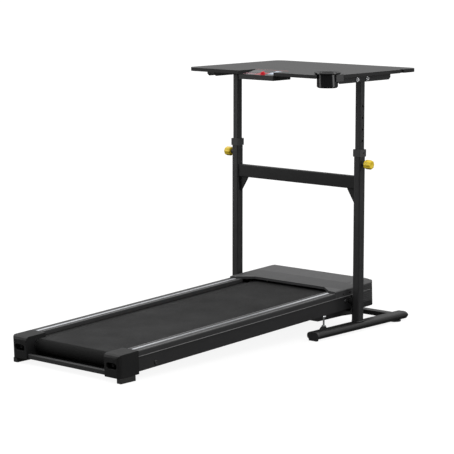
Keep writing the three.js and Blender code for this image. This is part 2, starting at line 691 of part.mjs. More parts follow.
// ---------- console ----------
// A shallow box in the desk's notch; its faceplate slopes down towards the walker.
const PLATE_SLOPE = Math.atan2(DESK_TOP - CONSOLE_FRONT_TOP, CONSOLE_DEPTH);
function consoleUnit() {
  const half = CONSOLE_WIDTH / 2 - GAP;
  const front = CONSOLE_FRONT - GAP;
  const plan = (inset, radius) =>
    roundedRect(-half + inset, CONSOLE_REAR + inset, half - inset, front - inset, [4, 4, radius, radius]);
  const body = alongZ(plan(0, CONSOLE_CORNER - GAP), CONSOLE_BOTTOM, DESK_TOP + 1, 2);
  const inside = alongZ(
    plan(CONSOLE_WALL, CONSOLE_CORNER - CONSOLE_WALL),
    CONSOLE_BOTTOM + CONSOLE_WALL,
    DESK_TOP + 2,
    2,
  );
  const topAt = (y) => DESK_TOP - PLATE_THICKNESS - (CONSOLE_FRONT - y) * Math.tan(PLATE_SLOPE);
  const slope = alongX(
    polygon([
      [CONSOLE_REAR - 10, topAt(CONSOLE_REAR - 10)],
      [CONSOLE_FRONT + 10, topAt(CONSOLE_FRONT + 10)],
      [CONSOLE_FRONT + 10, DESK_TOP + 60],
      [CONSOLE_REAR - 10, DESK_TOP + 60],
    ]),
    -half - 5,
    half + 5,
  );
  place("console_housing", cut(body, inside, slope), blackPlastic());

  const controls = new THREE.Group();
  controls.position.set(0, CONSOLE_REAR, topAt(CONSOLE_REAR) + GAP);
  controls.rotation.x = PLATE_SLOPE;
  treadmill.add(controls);
  const length = CONSOLE_DEPTH / Math.cos(PLATE_SLOPE) - 1;
  const buttons = [
    ["start_button", 52, 82, 20, 16],
    ["stop_button", 80, 82, 20, 16],
    ["speed_down_button", 52, 48, 20, 16],
    ["speed_up_button", 80, 48, 20, 16],
  ];
  const keyX = 14;
  const keyY = 30;
  const keyRadius = 13;
  const well = (x, y, w, d, extra) => {
    const halfW = w / 2 + extra;
    const halfD = d / 2 + extra;
    return alongZ(roundedRect(x - halfW, y - halfD, x + halfW, y + halfD, 3), -1, 6);
  };
  const lensW = 64;
  const lensD = 46;
  const lensX = -54;
  const lensY = 74;
  let plate = alongZ(
    roundedRect(-half, 0, half, length, [4, 4, CONSOLE_CORNER - GAP, CONSOLE_CORNER - GAP]),
    0,
    PLATE_THICKNESS,
    2,
  );
  for (const [, x, y, w, d] of buttons) plate = cut(plate, well(x, y, w, d, RUNNING_GAP));
  plate = cut(
    plate,
    rod(keyRadius + 1, 10, "z", keyX, keyY, -1, 20),
    well(lensX, lensY, lensW, lensD, GAP),
  );
  place("console_faceplate", plate, glossPlastic(), controls);
  const lens = alongZ(
    roundedRect(lensX - lensW / 2, lensY - lensD / 2, lensX + lensW / 2, lensY + lensD / 2, 3),
    -1.5,
    PLATE_THICKNESS + 0.4,
  );
  place("display_lens", lens, glossPlastic(), controls);
  for (const [name, x, y, w, d] of buttons) {
    const cap = alongZ(
      roundedRect(x - w / 2, y - d / 2, x + w / 2, y + d / 2, 3),
      -1.5,
      PLATE_THICKNESS + 1.4,
    );
    place(name, cap, charcoal(), controls);
  }
  const key = joined(
    rod(keyRadius, 5, "z", keyX, keyY, -1.5, 20),
    rod(keyRadius - 3, 9, "z", keyX, keyY, -1.5, 20),
    block(keyX - 3, keyY - 9, 2, keyX + 3, keyY + 9, 12),
  );
  place("safety_key", key, paint(0xc8102e, 0.35, 0), controls);
}
consoleUnit();

// ---------- deck ----------
// The hood's outline seen from above, moved inwards by t: a lip over the belt between two wings.
function hoodPlan(t) {
  const half = HALF_DECK - t;
  const front = DECK_LENGTH + 3 - t;
  const corner = HOOD_CORNER - t;
  const slant = Math.atan2(HOOD_REAR - HOOD_WING_REAR, HOOD_WING_X - HOOD_LIP_X);
  const shift = t * Math.tan(slant / 2);
  const shape = new THREE.Shape();
  shape.moveTo(-half, HOOD_WING_REAR + t);
  shape.lineTo(-HOOD_WING_X - shift, HOOD_WING_REAR + t);
  shape.lineTo(-HOOD_LIP_X - shift, HOOD_REAR + t);
  shape.lineTo(HOOD_LIP_X + shift, HOOD_REAR + t);
  shape.lineTo(HOOD_WING_X + shift, HOOD_WING_REAR + t);
  shape.lineTo(half, HOOD_WING_REAR + t);
  shape.lineTo(half, front - corner);
  shape.absarc(half - corner, front - corner, corner, 0, Math.PI / 2, false);
  shape.lineTo(-half + corner, front);
  shape.absarc(-half + corner, front - corner, corner, Math.PI / 2, Math.PI, false);
  return shape;
}

function mirrored(points, sign) {
  return sign > 0 ? points : points.map(([u, v]) => [-u, v]).reverse();
}

function deckSide(side, sign) {
  // Rail cover: a moulded channel that sits on the steel side frame.
  const o = HALF_DECK;
  const i = RAIL_INNER;
  const t = RAIL_WALL;
  const grooveHalf = STRIP_WIDTH / 2 + GAP;
  const grooveZ = RAIL_TOP - STRIP_THICKNESS + STRIP_PROUD;
  const cover = polygon(
    mirrored(
      [
        [o, RAIL_TOP - RAIL_SKIRT],
        [o, RAIL_TOP - 4],
        [o - 3, RAIL_TOP - 0.6],
        [o - 6, RAIL_TOP],
        [STRIP_X + grooveHalf, RAIL_TOP],
        [STRIP_X + grooveHalf, grooveZ - GAP],
        [STRIP_X - grooveHalf, grooveZ - GAP],
        [STRIP_X - grooveHalf, RAIL_TOP],
        [i + 5, RAIL_TOP],
        [i + 1, RAIL_TOP - 1.2],
        [i, RAIL_TOP - 4],
        [i, BOARD_TOP + GAP],
        [i + t, BOARD_TOP + GAP],
        [i + t, RAIL_TOP - t],
        [o - t, RAIL_TOP - t],
        [o - t, RAIL_TOP - RAIL_SKIRT],
      ],
      sign,
    ),
  );
  const underHood = alongZ(hoodPlan(-GAP), 0, RAIL_TOP + 10);
  const rail = cut(alongY(cover, CAP_LENGTH + GAP, HOOD_REAR), underHood);
  place("side_rail_" + side, rail, blackPlastic(), deck);
  const strip = roundedRect(
    sign * STRIP_X - STRIP_WIDTH / 2,
    grooveZ,
    sign * STRIP_X + STRIP_WIDTH / 2,
    RAIL_TOP + STRIP_PROUD,
    0.5,
  );
  place("foot_strip_" + side, alongY(strip, CAP_LENGTH + 1, HOOD_WING_REAR - 4, 1), silver(), deck);

  rearCap(side, sign);
}

// Rear end cap: a moulded box open at the front, with a slot for the belt tension bolt.
function rearCap(side, sign) {
  const outer = sign > 0 ? [CAP_INNER, HALF_DECK] : [-HALF_DECK, -CAP_INNER];
  const top = RAIL_TOP;
  const profile = polygon([
    [0, CAP_BOTTOM + 3],
    [3, CAP_BOTTOM],
    [CAP_LENGTH, CAP_BOTTOM],
    [CAP_LENGTH, top],
    [14, top],
    [4, top - 5],
    [0, top - 14],
  ]);
  const plan = roundedRect(
    outer[0],
    0,
    outer[1],
    CAP_LENGTH,
    sign > 0 ? [3, 16, 0, 0] : [16, 3, 0, 0],
  );
  const shell = alongX(profile, outer[0], outer[1]).intersect(alongZ(plan, CAP_BOTTOM - 1, top + 1));
  const hollow = block(
    sign > 0 ? outer[0] + CAP_WALL + 2 : outer[0] + CAP_WALL,
    CAP_WALL + 6,
    CAP_BOTTOM + CAP_WALL,
    sign > 0 ? outer[1] - CAP_WALL : outer[1] - CAP_WALL - 2,
    CAP_LENGTH + 1,
    top - CAP_WALL,
  );
  const slotX = sign * (CAP_INNER + CAP_WIDTH / 2 - 2);
  const slotOutline = roundedRect(slotX - 28, ROLLER_Z - 14, slotX + 28, ROLLER_Z + 12, 12.5);
  const slot = alongY(slotOutline, -1, CAP_WALL + 8, 3);
  const axleSlot = block(
    sign > 0 ? outer[0] - 1 : outer[1] - CAP_WALL - 3,
    REAR_ROLLER_Y - AXLE_RADIUS - 1,
    ROLLER_Z - AXLE_RADIUS - 1,
    sign > 0 ? outer[0] + CAP_WALL + 3 : outer[1] + 1,
    REAR_ROLLER_Y + AXLE_RADIUS + 14,
    ROLLER_Z + AXLE_RADIUS + 1,
  );
  place("rear_cap_" + side, cut(shell, hollow, slot, axleSlot), charcoal(), deck);

  // Tension bolt: threads through the end of the rear axle and pulls it back.
  const bolt = cut(
    joined(
      rod(7, 7, "y", slotX, 10, ROLLER_Z, 20),
      rod(3.5, REAR_ROLLER_Y + 5, "y", slotX, 16, ROLLER_Z, 12),
    ),
    rod(3.2, 5, "y", slotX, 8, ROLLER_Z, 6),
  );
  place("tension_bolt_" + side, bolt, chrome(), deck);

  // Rear foot under the cap, on the floor whatever the deck's tilt.
  const footX0 = sign > 0 ? HALF_DECK - REAR_FOOT_WIDTH : -HALF_DECK;
  const footY1 = REAR_FOOT_INSET + REAR_FOOT_LENGTH;
  const foot = block(footX0, REAR_FOOT_INSET, -40, footX0 + REAR_FOOT_WIDTH, footY1, CAP_BOTTOM - GAP);
  const made = new THREE.Mesh(geometryOf(foot), rubber());
  made.name = "rear_foot_" + side;
  const floorCut = block(-HALF_DECK, -100, -100, HALF_DECK, 400, 0);
  const lift = new THREE.Matrix4().makeRotationX(-DECK_TILT);
  const plane = geometryOf(floorCut).applyMatrix4(lift);
  made.geometry = geometryOf(cut(foot, solid(plane)));
  deck.add(made);
}
SIDES.forEach(([side, sign]) => deckSide(side, sign));

function rearBeam() {
  const reach = CAP_INNER - GAP;
  const top = BEAM_BOTTOM + BEAM_HEIGHT;
  const w = BEAM_WALL;
  const section = roundedRect(6, BEAM_BOTTOM, 6 + BEAM_DEPTH, top, 3);
  const hollow = roundedRect(6 + w, BEAM_BOTTOM + w, 6 + BEAM_DEPTH - w, top - w, 1);
  const tray = block(-reach, 6 + BEAM_DEPTH - 1, BEAM_BOTTOM, reach, BEAM_TRAY_FRONT, BEAM_BOTTOM + w);
  const beam = cut(alongX(section, -reach, reach), alongX(hollow, -reach - 1, reach + 1));
  place("rear_beam", joined(beam, tray), charcoal(), deck);
}
rearBeam();

// The welded deck frame: two side channels with a shelf for the board, a cross member at each end
// and the plate that carries the motor.
function deckFrame() {
  const f = FRAME_OUTER;
  const w = FRAME_WALL;
  const shelf = BOARD_BOTTOM - GAP;
  const channels = SIDES.map(([, sign]) =>
    alongY(
      polygon(
        mirrored(
          [
            [f, FRAME_BOTTOM],
            [f, FRAME_TOP],
            [f - FRAME_FLANGE, FRAME_TOP],
            [f - FRAME_FLANGE, FRAME_TOP - w],
            [f - w, FRAME_TOP - w],
            [f - w, shelf],
            [f - SHELF_WIDTH, shelf],
            [f - SHELF_WIDTH, shelf - w],
            [f - w, shelf - w],
            [f - w, FRAME_BOTTOM + w],
            [f - FRAME_FLANGE, FRAME_BOTTOM + w],
            [f - FRAME_FLANGE, FRAME_BOTTOM],
          ],
          sign,
        ),
      ),
      10,
      FRAME_FRONT,
    ),
  );
  const inner = f - w / 2;
  const shelfEnds = SIDES.flatMap(([, sign]) => {
    const x0 = sign > 0 ? f - SHELF_WIDTH - 1 : -f + w;
    const x1 = sign > 0 ? f - w : -f + SHELF_WIDTH + 1;
    return [
      block(x0, 0, shelf - w - 1, x1, BOARD_REAR - 4, shelf + 1),
      block(x0, BOARD_FRONT + 4, shelf - w - 1, x1, FRAME_FRONT + 1, shelf + 1),
    ];
  });
  const axleHoles = rod(AXLE_RADIUS + RUNNING_GAP, 2 * f + 20, "x", -f - 10, FRONT_ROLLER_Y, ROLLER_Z, 20);
  const memberTop = FRAME_BOTTOM + MEMBER_HEIGHT;
  const rearMember = block(-inner, 126, FRAME_BOTTOM, inner, 150, memberTop);
  const frontMember = block(-inner, FRAME_FRONT - 15, FRAME_BOTTOM, inner, FRAME_FRONT, memberTop);
  const plateHalf = MOTOR_PLATE_WIDTH / 2;
  const motorPlate = joined(
    block(-plateHalf, FRAME_FRONT - 5, FRAME_BOTTOM, plateHalf, MOTOR_PLATE_FRONT, FRAME_BOTTOM + 3),
    block(-plateHalf, MOTOR_PLATE_FRONT - 3, FRAME_BOTTOM, plateHalf, MOTOR_PLATE_FRONT, FRAME_BOTTOM + 30),
  );
  const sides = channels.map((channel) => cut(channel, ...shelfEnds));
  const frame = joined(...sides, rearMember, frontMember);
  place("deck_frame", cut(joined(frame, motorPlate), axleHoles), blackPaint(), deck);
}
deckFrame();

// Running board, rollers and the belt round them.
function runningGear() {
  place(
    "running_board",
    block(-BOARD_WIDTH / 2, BOARD_REAR, BOARD_BOTTOM, BOARD_WIDTH / 2, BOARD_FRONT, BOARD_TOP),
    board(),
    deck,
  );
  const rollerHalf = BELT_WIDTH / 2 + 4;
  const bore = (y) => rod(AXLE_RADIUS + 0.1, 2 * rollerHalf + 2, "x", -rollerHalf - 1, y, ROLLER_Z, 16);
  const rearRoller = cut(
    rod(ROLLER_RADIUS, 2 * rollerHalf, "x", -rollerHalf, REAR_ROLLER_Y, ROLLER_Z, 28),
    bore(REAR_ROLLER_Y),
  );
  place("rear_roller", rearRoller, silver(), deck);
  const boltX = CAP_INNER + CAP_WIDTH / 2 - 2;
  const axleReach = boltX + 14;
  const rearAxle = cut(
    rod(AXLE_RADIUS - 0.4, 2 * axleReach, "x", -axleReach, REAR_ROLLER_Y, ROLLER_Z, 16),
    ...SIDES.map(([, sign]) => rod(3.5 + GAP, 30, "y", sign * boltX, REAR_ROLLER_Y - 15, ROLLER_Z, 12)),
  );
  place("rear_axle", rearAxle, silver(), deck);
  const pulleyX = rollerHalf + 5;
  const stubReach = FRAME_OUTER + 1;
  const frontRoller = joined(
    rod(ROLLER_RADIUS, 2 * rollerHalf, "x", -rollerHalf, FRONT_ROLLER_Y, ROLLER_Z, 28),
    rod(FRONT_PULLEY_RADIUS, PULLEY_WIDTH, "x", -pulleyX - PULLEY_WIDTH, FRONT_ROLLER_Y, ROLLER_Z, 28),
    rod(AXLE_RADIUS, 2 * stubReach, "x", -stubReach, FRONT_ROLLER_Y, ROLLER_Z, 20),
  );
  place("front_roller", frontRoller, silver(), deck);

  const loop = (radius, width) => {
    const shape = new THREE.Shape();
    shape.moveTo(REAR_ROLLER_Y, ROLLER_Z - radius);
    shape.lineTo(FRONT_ROLLER_Y, ROLLER_Z - radius);
    shape.absarc(FRONT_ROLLER_Y, ROLLER_Z, radius, -Math.PI / 2, Math.PI / 2, false);
    shape.lineTo(REAR_ROLLER_Y, ROLLER_Z + radius);
    shape.absarc(REAR_ROLLER_Y, ROLLER_Z, radius, Math.PI / 2, (3 * Math.PI) / 2, false);
    return alongX(shape, -width / 2, width / 2, 8);
  };
  const inner = ROLLER_RADIUS + GAP;
  const belt = cut(loop(inner + BELT_THICKNESS, BELT_WIDTH), loop(inner, BELT_WIDTH + 2));
  place("walking_belt", belt, beltRubber(), deck);
}
runningGear();

// ---------- motor bay ----------
function motorBay() {
  const pulleyX = -(BELT_WIDTH / 2 + 4 + 5 + PULLEY_WIDTH);
  const motorX = pulleyX + PULLEY_WIDTH + 14;
  const shaftStart = pulleyX - 2;
  const foot = (x) =>
    block(x, MOTOR_Y - 26, FRAME_BOTTOM + 3 + GAP, x + 14, MOTOR_Y + 26, MOTOR_Z - MOTOR_RADIUS + 10);
  const motor = cut(
    joined(
      rod(MOTOR_RADIUS, MOTOR_LENGTH, "x", motorX, MOTOR_Y, MOTOR_Z, 24),
      foot(motorX + 16),
      foot(motorX + MOTOR_LENGTH - 30),
    ),
    rod(MOTOR_SHAFT_RADIUS + 0.5, 41, "x", motorX - 1, MOTOR_Y, MOTOR_Z, 20),
  );
  place("motor", motor, blackPaint(), deck);
  const shaft = joined(
    rod(MOTOR_SHAFT_RADIUS, motorX + 36 - shaftStart, "x", shaftStart, MOTOR_Y, MOTOR_Z, 20),
    rod(MOTOR_PULLEY_RADIUS, PULLEY_WIDTH, "x", pulleyX, MOTOR_Y, MOTOR_Z, 24),
  );
  place("motor_shaft", shaft, silver(), deck);

  // The ribbed drive belt runs round both pulleys on their outer tangents.
  const dy = MOTOR_Y - FRONT_ROLLER_Y;
  const dz = MOTOR_Z - ROLLER_Z;
  const along = Math.atan2(dz, dy);
  const spread = Math.acos((FRONT_PULLEY_RADIUS - MOTOR_PULLEY_RADIUS) / Math.hypot(dy, dz));
  const wrap = (extra) => {
    const shape = new THREE.Shape();
    const big = FRONT_PULLEY_RADIUS + extra;
    const small = MOTOR_PULLEY_RADIUS + extra;
    shape.absarc(FRONT_ROLLER_Y, ROLLER_Z, big, along + spread, along - spread + 2 * Math.PI, false);
    shape.absarc(MOTOR_Y, MOTOR_Z, small, along - spread, along + spread, false);
    return shape;
  };
  const beltX = pulleyX + (PULLEY_WIDTH - DRIVE_BELT_WIDTH) / 2;
  const band = cut(
    alongX(wrap(GAP + DRIVE_BELT_THICKNESS), beltX, beltX + DRIVE_BELT_WIDTH, 8),
    alongX(wrap(GAP), beltX - 1, beltX + DRIVE_BELT_WIDTH + 1, 8),
  );
  place("drive_belt", band, rubber(), deck);
}
motorBay();

// The hood: a moulded shell that rises in a sloping band to its top, with rounded shoulders, a skirt
// in line with the rail covers, louvres round the front corners and the power inlet in its front.
function motorHood() {
  const front = DECK_LENGTH + 3;
  const half = HALF_DECK;
  const stepY = HOOD_REAR + HOOD_STEP;
  const side = (t) =>
    polygon([
      [HOOD_WING_REAR - 5, HOOD_BOTTOM + t],
      [front - 14 - t, HOOD_BOTTOM + t],
      [front - 4 - t, 34],
      [front - t, 62],
      [front - 2 - t, 100 - t * 0.6],
      [front - 12 - t, 121 - t],
      [front - 26 - t, HOOD_TOP - 2 - t],
      [stepY + 60, HOOD_TOP + 2 - t],
      [stepY, HOOD_TOP - t],
      [HOOD_REAR + 3, HOOD_LIP - t],
      [HOOD_WING_REAR - 5, HOOD_LIP - t],
    ]);
  const across = (t) => {
    const right = [
      [half - 18 - t, HOOD_BOTTOM - 2],
      [half - t, 38],
      [half - t, HOOD_LIP - 4 - t],
      [half - 3 - t, HOOD_LIP - 1 - t],
      [half - 16 - t, HOOD_LIP + 4 - t],
      [half - 44 - t, HOOD_TOP - 1 - t],
      [half - 70 - t, HOOD_TOP + 9 - t],
    ];
    return polygon([...right, ...right.map(([x, z]) => [-x, z]).reverse()]);
  };
  const mass = (t) =>
    alongX(side(t), -half - 1, half + 1)
      .intersect(alongZ(hoodPlan(t), HOOD_BOTTOM - 1, HOOD_TOP + 20, 3))
      .intersect(alongY(across(t), HOOD_WING_REAR - 10, front + 10));
  const opening = block(
    -PAN_WIDTH / 2 - 3,
    HOOD_WING_REAR - 10,
    HOOD_BOTTOM - 30,
    PAN_WIDTH / 2 + 3,
    MOTOR_PLATE_FRONT + 3,
    BELT_TOP + 3,
  );
  const skirtHalf = HALF_DECK - RAIL_WALL;
  const frameRecess = joined(
    block(-skirtHalf, HOOD_WING_REAR - 10, 0, skirtHalf, FRAME_FRONT + 3, FRAME_TOP + GAP),
    block(-half - 10, HOOD_WING_REAR - 10, 0, half + 10, FRAME_FRONT + 3, RAIL_TOP - RAIL_SKIRT),
  );
  let hood = cut(mass(0), mass(HOOD_WALL), opening, frameRecess);
  // Louvres: shallow grooves in the outer skin, running round each front corner.
  const skin = cut(
    alongZ(hoodPlan(-5), HOOD_BOTTOM, HOOD_TOP, 3),
    alongZ(hoodPlan(1.4), HOOD_BOTTOM - 1, HOOD_TOP + 1, 3),
    block(-half - 10, HOOD_WING_REAR - 10, 0, half + 10, front - 118, HOOD_TOP + 2),
    block(-half + HOOD_CORNER - 4, HOOD_WING_REAR - 10, 0, half - HOOD_CORNER + 4, front + 20, HOOD_TOP + 2),
  );
  for (let i = 0; i < VENT_COUNT; i++) {
    const z = HOOD_BOTTOM + 32 + i * VENT_PITCH;
    hood = cut(hood, skin.intersect(block(-half - 9, HOOD_REAR, z, half + 9, front + 19, z + 4.5)));
  }
  const inletX = INLET_WIDTH / 2;
  const inletZ = INLET_HEIGHT / 2;
  const inletRear = front - INLET_DEPTH;
  const shroud = block(
    INLET_X - inletX - INLET_WALL,
    inletRear - INLET_WALL,
    INLET_Z - inletZ - INLET_WALL,
    INLET_X + inletX + INLET_WALL,
    front - HOOD_WALL - 1,
    INLET_Z + inletZ + INLET_WALL,
  );
  const socket = block(
    INLET_X - inletX,
    inletRear,
    INLET_Z - inletZ,
    INLET_X + inletX,
    front + 5,
    INLET_Z + inletZ,
  );
  place("motor_hood", cut(joined(hood, shroud), socket), blackPlastic(), deck);
}
motorHood();

// The belly pan: an open tray under the motor bay.
function bellyPan() {
  const top = FRAME_BOTTOM - GAP;
  const w = PAN_WALL;
  const outside = polygon([
    [PAN_REAR, top],
    [PAN_REAR, top - 6],
    [PAN_REAR + 96, -8],
    [FRAME_FRONT, -15],
    [PAN_FRONT - 26, -25],
    [PAN_FRONT - 4, -21],
    [PAN_FRONT, -10],
    [PAN_FRONT, top],
  ]);
  const inside = polygon([
    [PAN_REAR + w, top + 1],
    [PAN_REAR + w, top - 6 + w],
    [PAN_REAR + 96, -8 + w],
    [FRAME_FRONT, -15 + w],
    [PAN_FRONT - 26, -25 + w],
    [PAN_FRONT - 4 - w, -21 + w],
    [PAN_FRONT - w, -10],
    [PAN_FRONT - w, top + 1],
  ]);
  const half = PAN_WIDTH / 2;
  const tray = cut(alongX(outside, -half, half), alongX(inside, -half + w, half - w));
  place("belly_pan", tray, blackPlastic(), deck);
}
bellyPan();

// ---------- frame ----------
// The origin goes to the middle of the footprint, on the floor.
treadmill.updateMatrixWorld(true);
const box = new THREE.Box3().setFromObject(treadmill, true);
treadmill.position.y = -(box.min.y + box.max.y) / 2;

export default treadmill;
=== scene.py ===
import json
import math

import bmesh
import bpy
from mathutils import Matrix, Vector


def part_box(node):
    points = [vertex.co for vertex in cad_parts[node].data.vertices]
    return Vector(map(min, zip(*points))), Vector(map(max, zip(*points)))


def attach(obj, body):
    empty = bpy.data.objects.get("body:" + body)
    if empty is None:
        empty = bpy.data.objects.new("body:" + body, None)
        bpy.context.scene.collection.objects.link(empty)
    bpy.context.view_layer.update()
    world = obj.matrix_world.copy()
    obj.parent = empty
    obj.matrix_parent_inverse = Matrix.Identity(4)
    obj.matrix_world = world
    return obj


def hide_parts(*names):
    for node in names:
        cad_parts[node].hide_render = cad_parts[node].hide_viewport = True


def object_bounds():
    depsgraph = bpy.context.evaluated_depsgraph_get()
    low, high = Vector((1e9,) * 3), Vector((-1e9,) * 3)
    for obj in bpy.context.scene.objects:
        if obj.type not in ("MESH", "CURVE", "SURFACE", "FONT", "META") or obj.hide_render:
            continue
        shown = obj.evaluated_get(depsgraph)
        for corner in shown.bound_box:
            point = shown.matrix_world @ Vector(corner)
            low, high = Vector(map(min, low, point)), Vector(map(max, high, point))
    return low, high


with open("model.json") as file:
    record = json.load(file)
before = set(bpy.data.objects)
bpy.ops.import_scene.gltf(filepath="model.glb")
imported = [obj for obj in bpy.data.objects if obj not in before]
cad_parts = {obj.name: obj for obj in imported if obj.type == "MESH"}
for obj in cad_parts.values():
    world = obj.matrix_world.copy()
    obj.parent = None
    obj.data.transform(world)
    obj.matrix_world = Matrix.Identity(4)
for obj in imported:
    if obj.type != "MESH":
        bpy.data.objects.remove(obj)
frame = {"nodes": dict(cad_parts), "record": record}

cad_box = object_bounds()

# ---------------------------------------------------------------------------------------------
# Studio: a big pale floor under an even overhead sky that is dim towards the horizon, with one
# broad soft lamp over the walker's left shoulder and weaker ones low and right, and the camera.
# ---------------------------------------------------------------------------------------------


class Wire:
    """One socket of a node tree, so that sums on it read as sums."""

    def __init__(self, tree, socket):
        self.tree = tree
        self.socket = socket

    def sum_node(self, operation, *terms):
        node = self.tree.nodes.new("ShaderNodeMath")
        node.operation = operation
        for slot, term in zip(node.inputs, terms):
            if isinstance(term, Wire):
                self.tree.links.new(term.socket, slot)
            else:
                slot.default_value = term
        return Wire(self.tree, node.outputs[0])

    def __add__(self, other):
        return self.sum_node("ADD", self, other)

    def __radd__(self, other):
        return self.sum_node("ADD", other, self)

    def __sub__(self, other):
        return self.sum_node("SUBTRACT", self, other)

    def __rsub__(self, other):
        return self.sum_node("SUBTRACT", other, self)

    def __mul__(self, other):
        return self.sum_node("MULTIPLY", self, other)

    def __rmul__(self, other):
        return self.sum_node("MULTIPLY", other, self)

    def __pow__(self, other):
        return self.sum_node("POWER", self, other)

    def above(self, level):
        return self.sum_node("GREATER_THAN", self, level)

    def below(self, level):
        return self.sum_node("LESS_THAN", self, level)

    def most(self, other):
        return self.sum_node("MAXIMUM", self, other)

    def wave(self):
        return self.sum_node("SINE", self)


class Tree:
    """A node tree, and the one way that any node other than a sum is added to it."""

    def __init__(self, tree):
        self.tree = tree

    def node(self, kind, settings=None, values=None, output=0):
        node = self.tree.nodes.new(kind)
        for key, value in (settings or {}).items():
            setattr(node, key, value)
        for key, value in (values or {}).items():
            if isinstance(value, Wire):
                self.tree.links.new(value.socket, node.inputs[key])
            else:
                node.inputs[key].default_value = value
        return Wire(self.tree, node.outputs[output])


studio = bpy.data.worlds.new("studio")
bpy.context.scene.world = studio
studio.use_nodes = True
studio.node_tree.nodes.clear()
sky = Tree(studio.node_tree)
SKY_HORIZON = 0.1
SKY_TOP = 2.1
SKY_FALL = 1.25  # how fast the sky dims towards the horizon
direction = sky.node("ShaderNodeTexCoord", output="Generated")
height = sky.node("ShaderNodeSeparateXYZ", values={"Vector": direction}, output="Z")
glow = SKY_HORIZON + (SKY_TOP - SKY_HORIZON) * (height.most(0.0) ** SKY_FALL)
shine = sky.node("ShaderNodeBackground", values={"Color": (1.0, 1.0, 1.0, 1.0), "Strength": glow})
world_out = studio.node_tree.nodes.new("ShaderNodeOutputWorld")
studio.node_tree.links.new(shine.socket, world_out.inputs["Surface"])


class Finish(Tree):
    """A material: constants go straight on its shader, and what varies is fed to it."""

    def __init__(self, name, colour, roughness, metallic=0.0, **constants):
        self.material = bpy.data.materials.new(name)
        self.material.use_nodes = True
        super().__init__(self.material.node_tree)
        self.shader = self.tree.nodes["Principled BSDF"]
        self.shader.inputs["Base Color"].default_value = (*colour, 1.0)
        self.shader.inputs["Roughness"].default_value = roughness
        self.shader.inputs["Metallic"].default_value = metallic
        for key, value in constants.items():
            self.shader.inputs[key.replace("_", " ")].default_value = value
        self.material.diffuse_color = (*colour, 1.0)
        self.bumps = None

    def place(self, axis=None):
        """Where a point is on the piece, in metres, or one axis of it."""
        point = self.node("ShaderNodeTexCoord", output="Object")
        if axis is None:
            return point
        return self.node("ShaderNodeSeparateXYZ", values={"Vector": point}, output=axis)

    def facing(self, axis):
        """How far a point's surface faces along one axis of the room, from -1 to 1."""
        normal = self.node("ShaderNodeNewGeometry", output="Normal")
        return self.node("ShaderNodeSeparateXYZ", values={"Vector": normal}, output=axis)

    def noise(self, scale, detail=3.0, vector=None, roughness=0.5):
        return self.node(
            "ShaderNodeTexNoise",
            values={
                "Vector": vector if vector else self.place(),
                "Scale": scale,
                "Detail": detail,
                "Roughness": roughness,
            },
        )

    def stretched(self, x, y, z):
        return self.node(
            "ShaderNodeMapping", values={"Vector": self.place(), "Scale": (x, y, z)}
        )

    def mix(self, share, first, second):
        return self.node(
            "ShaderNodeMix",
            {"data_type": "RGBA", "blend_type": "MIX"},
            {"Factor": share, 6: first, 7: second},
            output=2,
        )

    def feed(self, socket, wire):
        self.tree.links.new(wire.socket, self.shader.inputs[socket])

    def tones(self, scale, detail, dark, light):
        """Base colour that drifts between two near tones."""
        drift = self.noise(scale, detail)
        self.feed("Base Color", self.mix(drift, (*dark, 1.0), (*light, 1.0)))

    def sheen(self, least, span, scale, detail=4.0):
        """Roughness that drifts upward from its least value."""
        self.feed("Roughness", least + span * self.noise(scale, detail))

    def bump(self, high, strength, distance):
        values = {"Height": high, "Strength": strength, "Distance": distance}
        if self.bumps:
            values["Normal"] = self.bumps
        self.bumps = self.node("ShaderNodeBump", values=values)
        self.feed("Normal", self.bumps)


WHITE = (1.0, 1.0, 1.0, 1.0)
paper = Finish(
    "studio_paper", (0.10, 0.10, 0.10), 0.95, Emission_Color=WHITE, Emission_Strength=0.90
)
paper.bump(paper.noise(40.0), 0.05, 0.001)
paper.sheen(0.93, 0.04, 12.0, 3.0)
FLOOR_REACH = 90.0
FLOOR_DROP = 0.0003  # below the feet, so that the two faces don't meet
floor_mesh = bmesh.new()
bmesh.ops.create_grid(floor_mesh, x_segments=8, y_segments=8, size=FLOOR_REACH)
floor_data = bpy.data.meshes.new("studio_floor")
floor_mesh.to_mesh(floor_data)
floor_mesh.free()
floor = bpy.data.objects.new("studio_floor", floor_data)
floor.location.z = cad_box[0][2] - FLOOR_DROP
bpy.context.collection.objects.link(floor)
floor_data.materials.append(paper.material)
floor.visible_diffuse = False
floor.visible_glossy = False


def lamp(name, place, aim, size, power):
    light = bpy.data.lights.new(name, "AREA")
    light.shape = "RECTANGLE"
    light.size = size[0]
    light.size_y = size[1]
    light.energy = power
    rig = bpy.data.objects.new(name, light)
    rig.location = place
    rig.rotation_euler = (Vector(aim) - Vector(place)).to_track_quat("-Z", "Y").to_euler()
    rig.visible_camera = False
    bpy.context.collection.objects.link(rig)


lamp("lamp_left", (-3.4, -2.6, 2.9), (0.0, 0.2, 0.6), (2.2, 1.6), 34.0)
lamp("lamp_low", (-3.3, -2.6, 0.55), (-0.1, 0.5, 0.6), (2.0, 0.9), 9.0)
lamp("lamp_right", (4.4, 1.6, 1.5), (0.2, 0.1, 0.5), (1.6, 2.2), 32.0)
lamp("lamp_glint", (3.2, 3.7, 0.7), (0.35, 0.5, 1.1), (0.5, 1.4), 2.5)

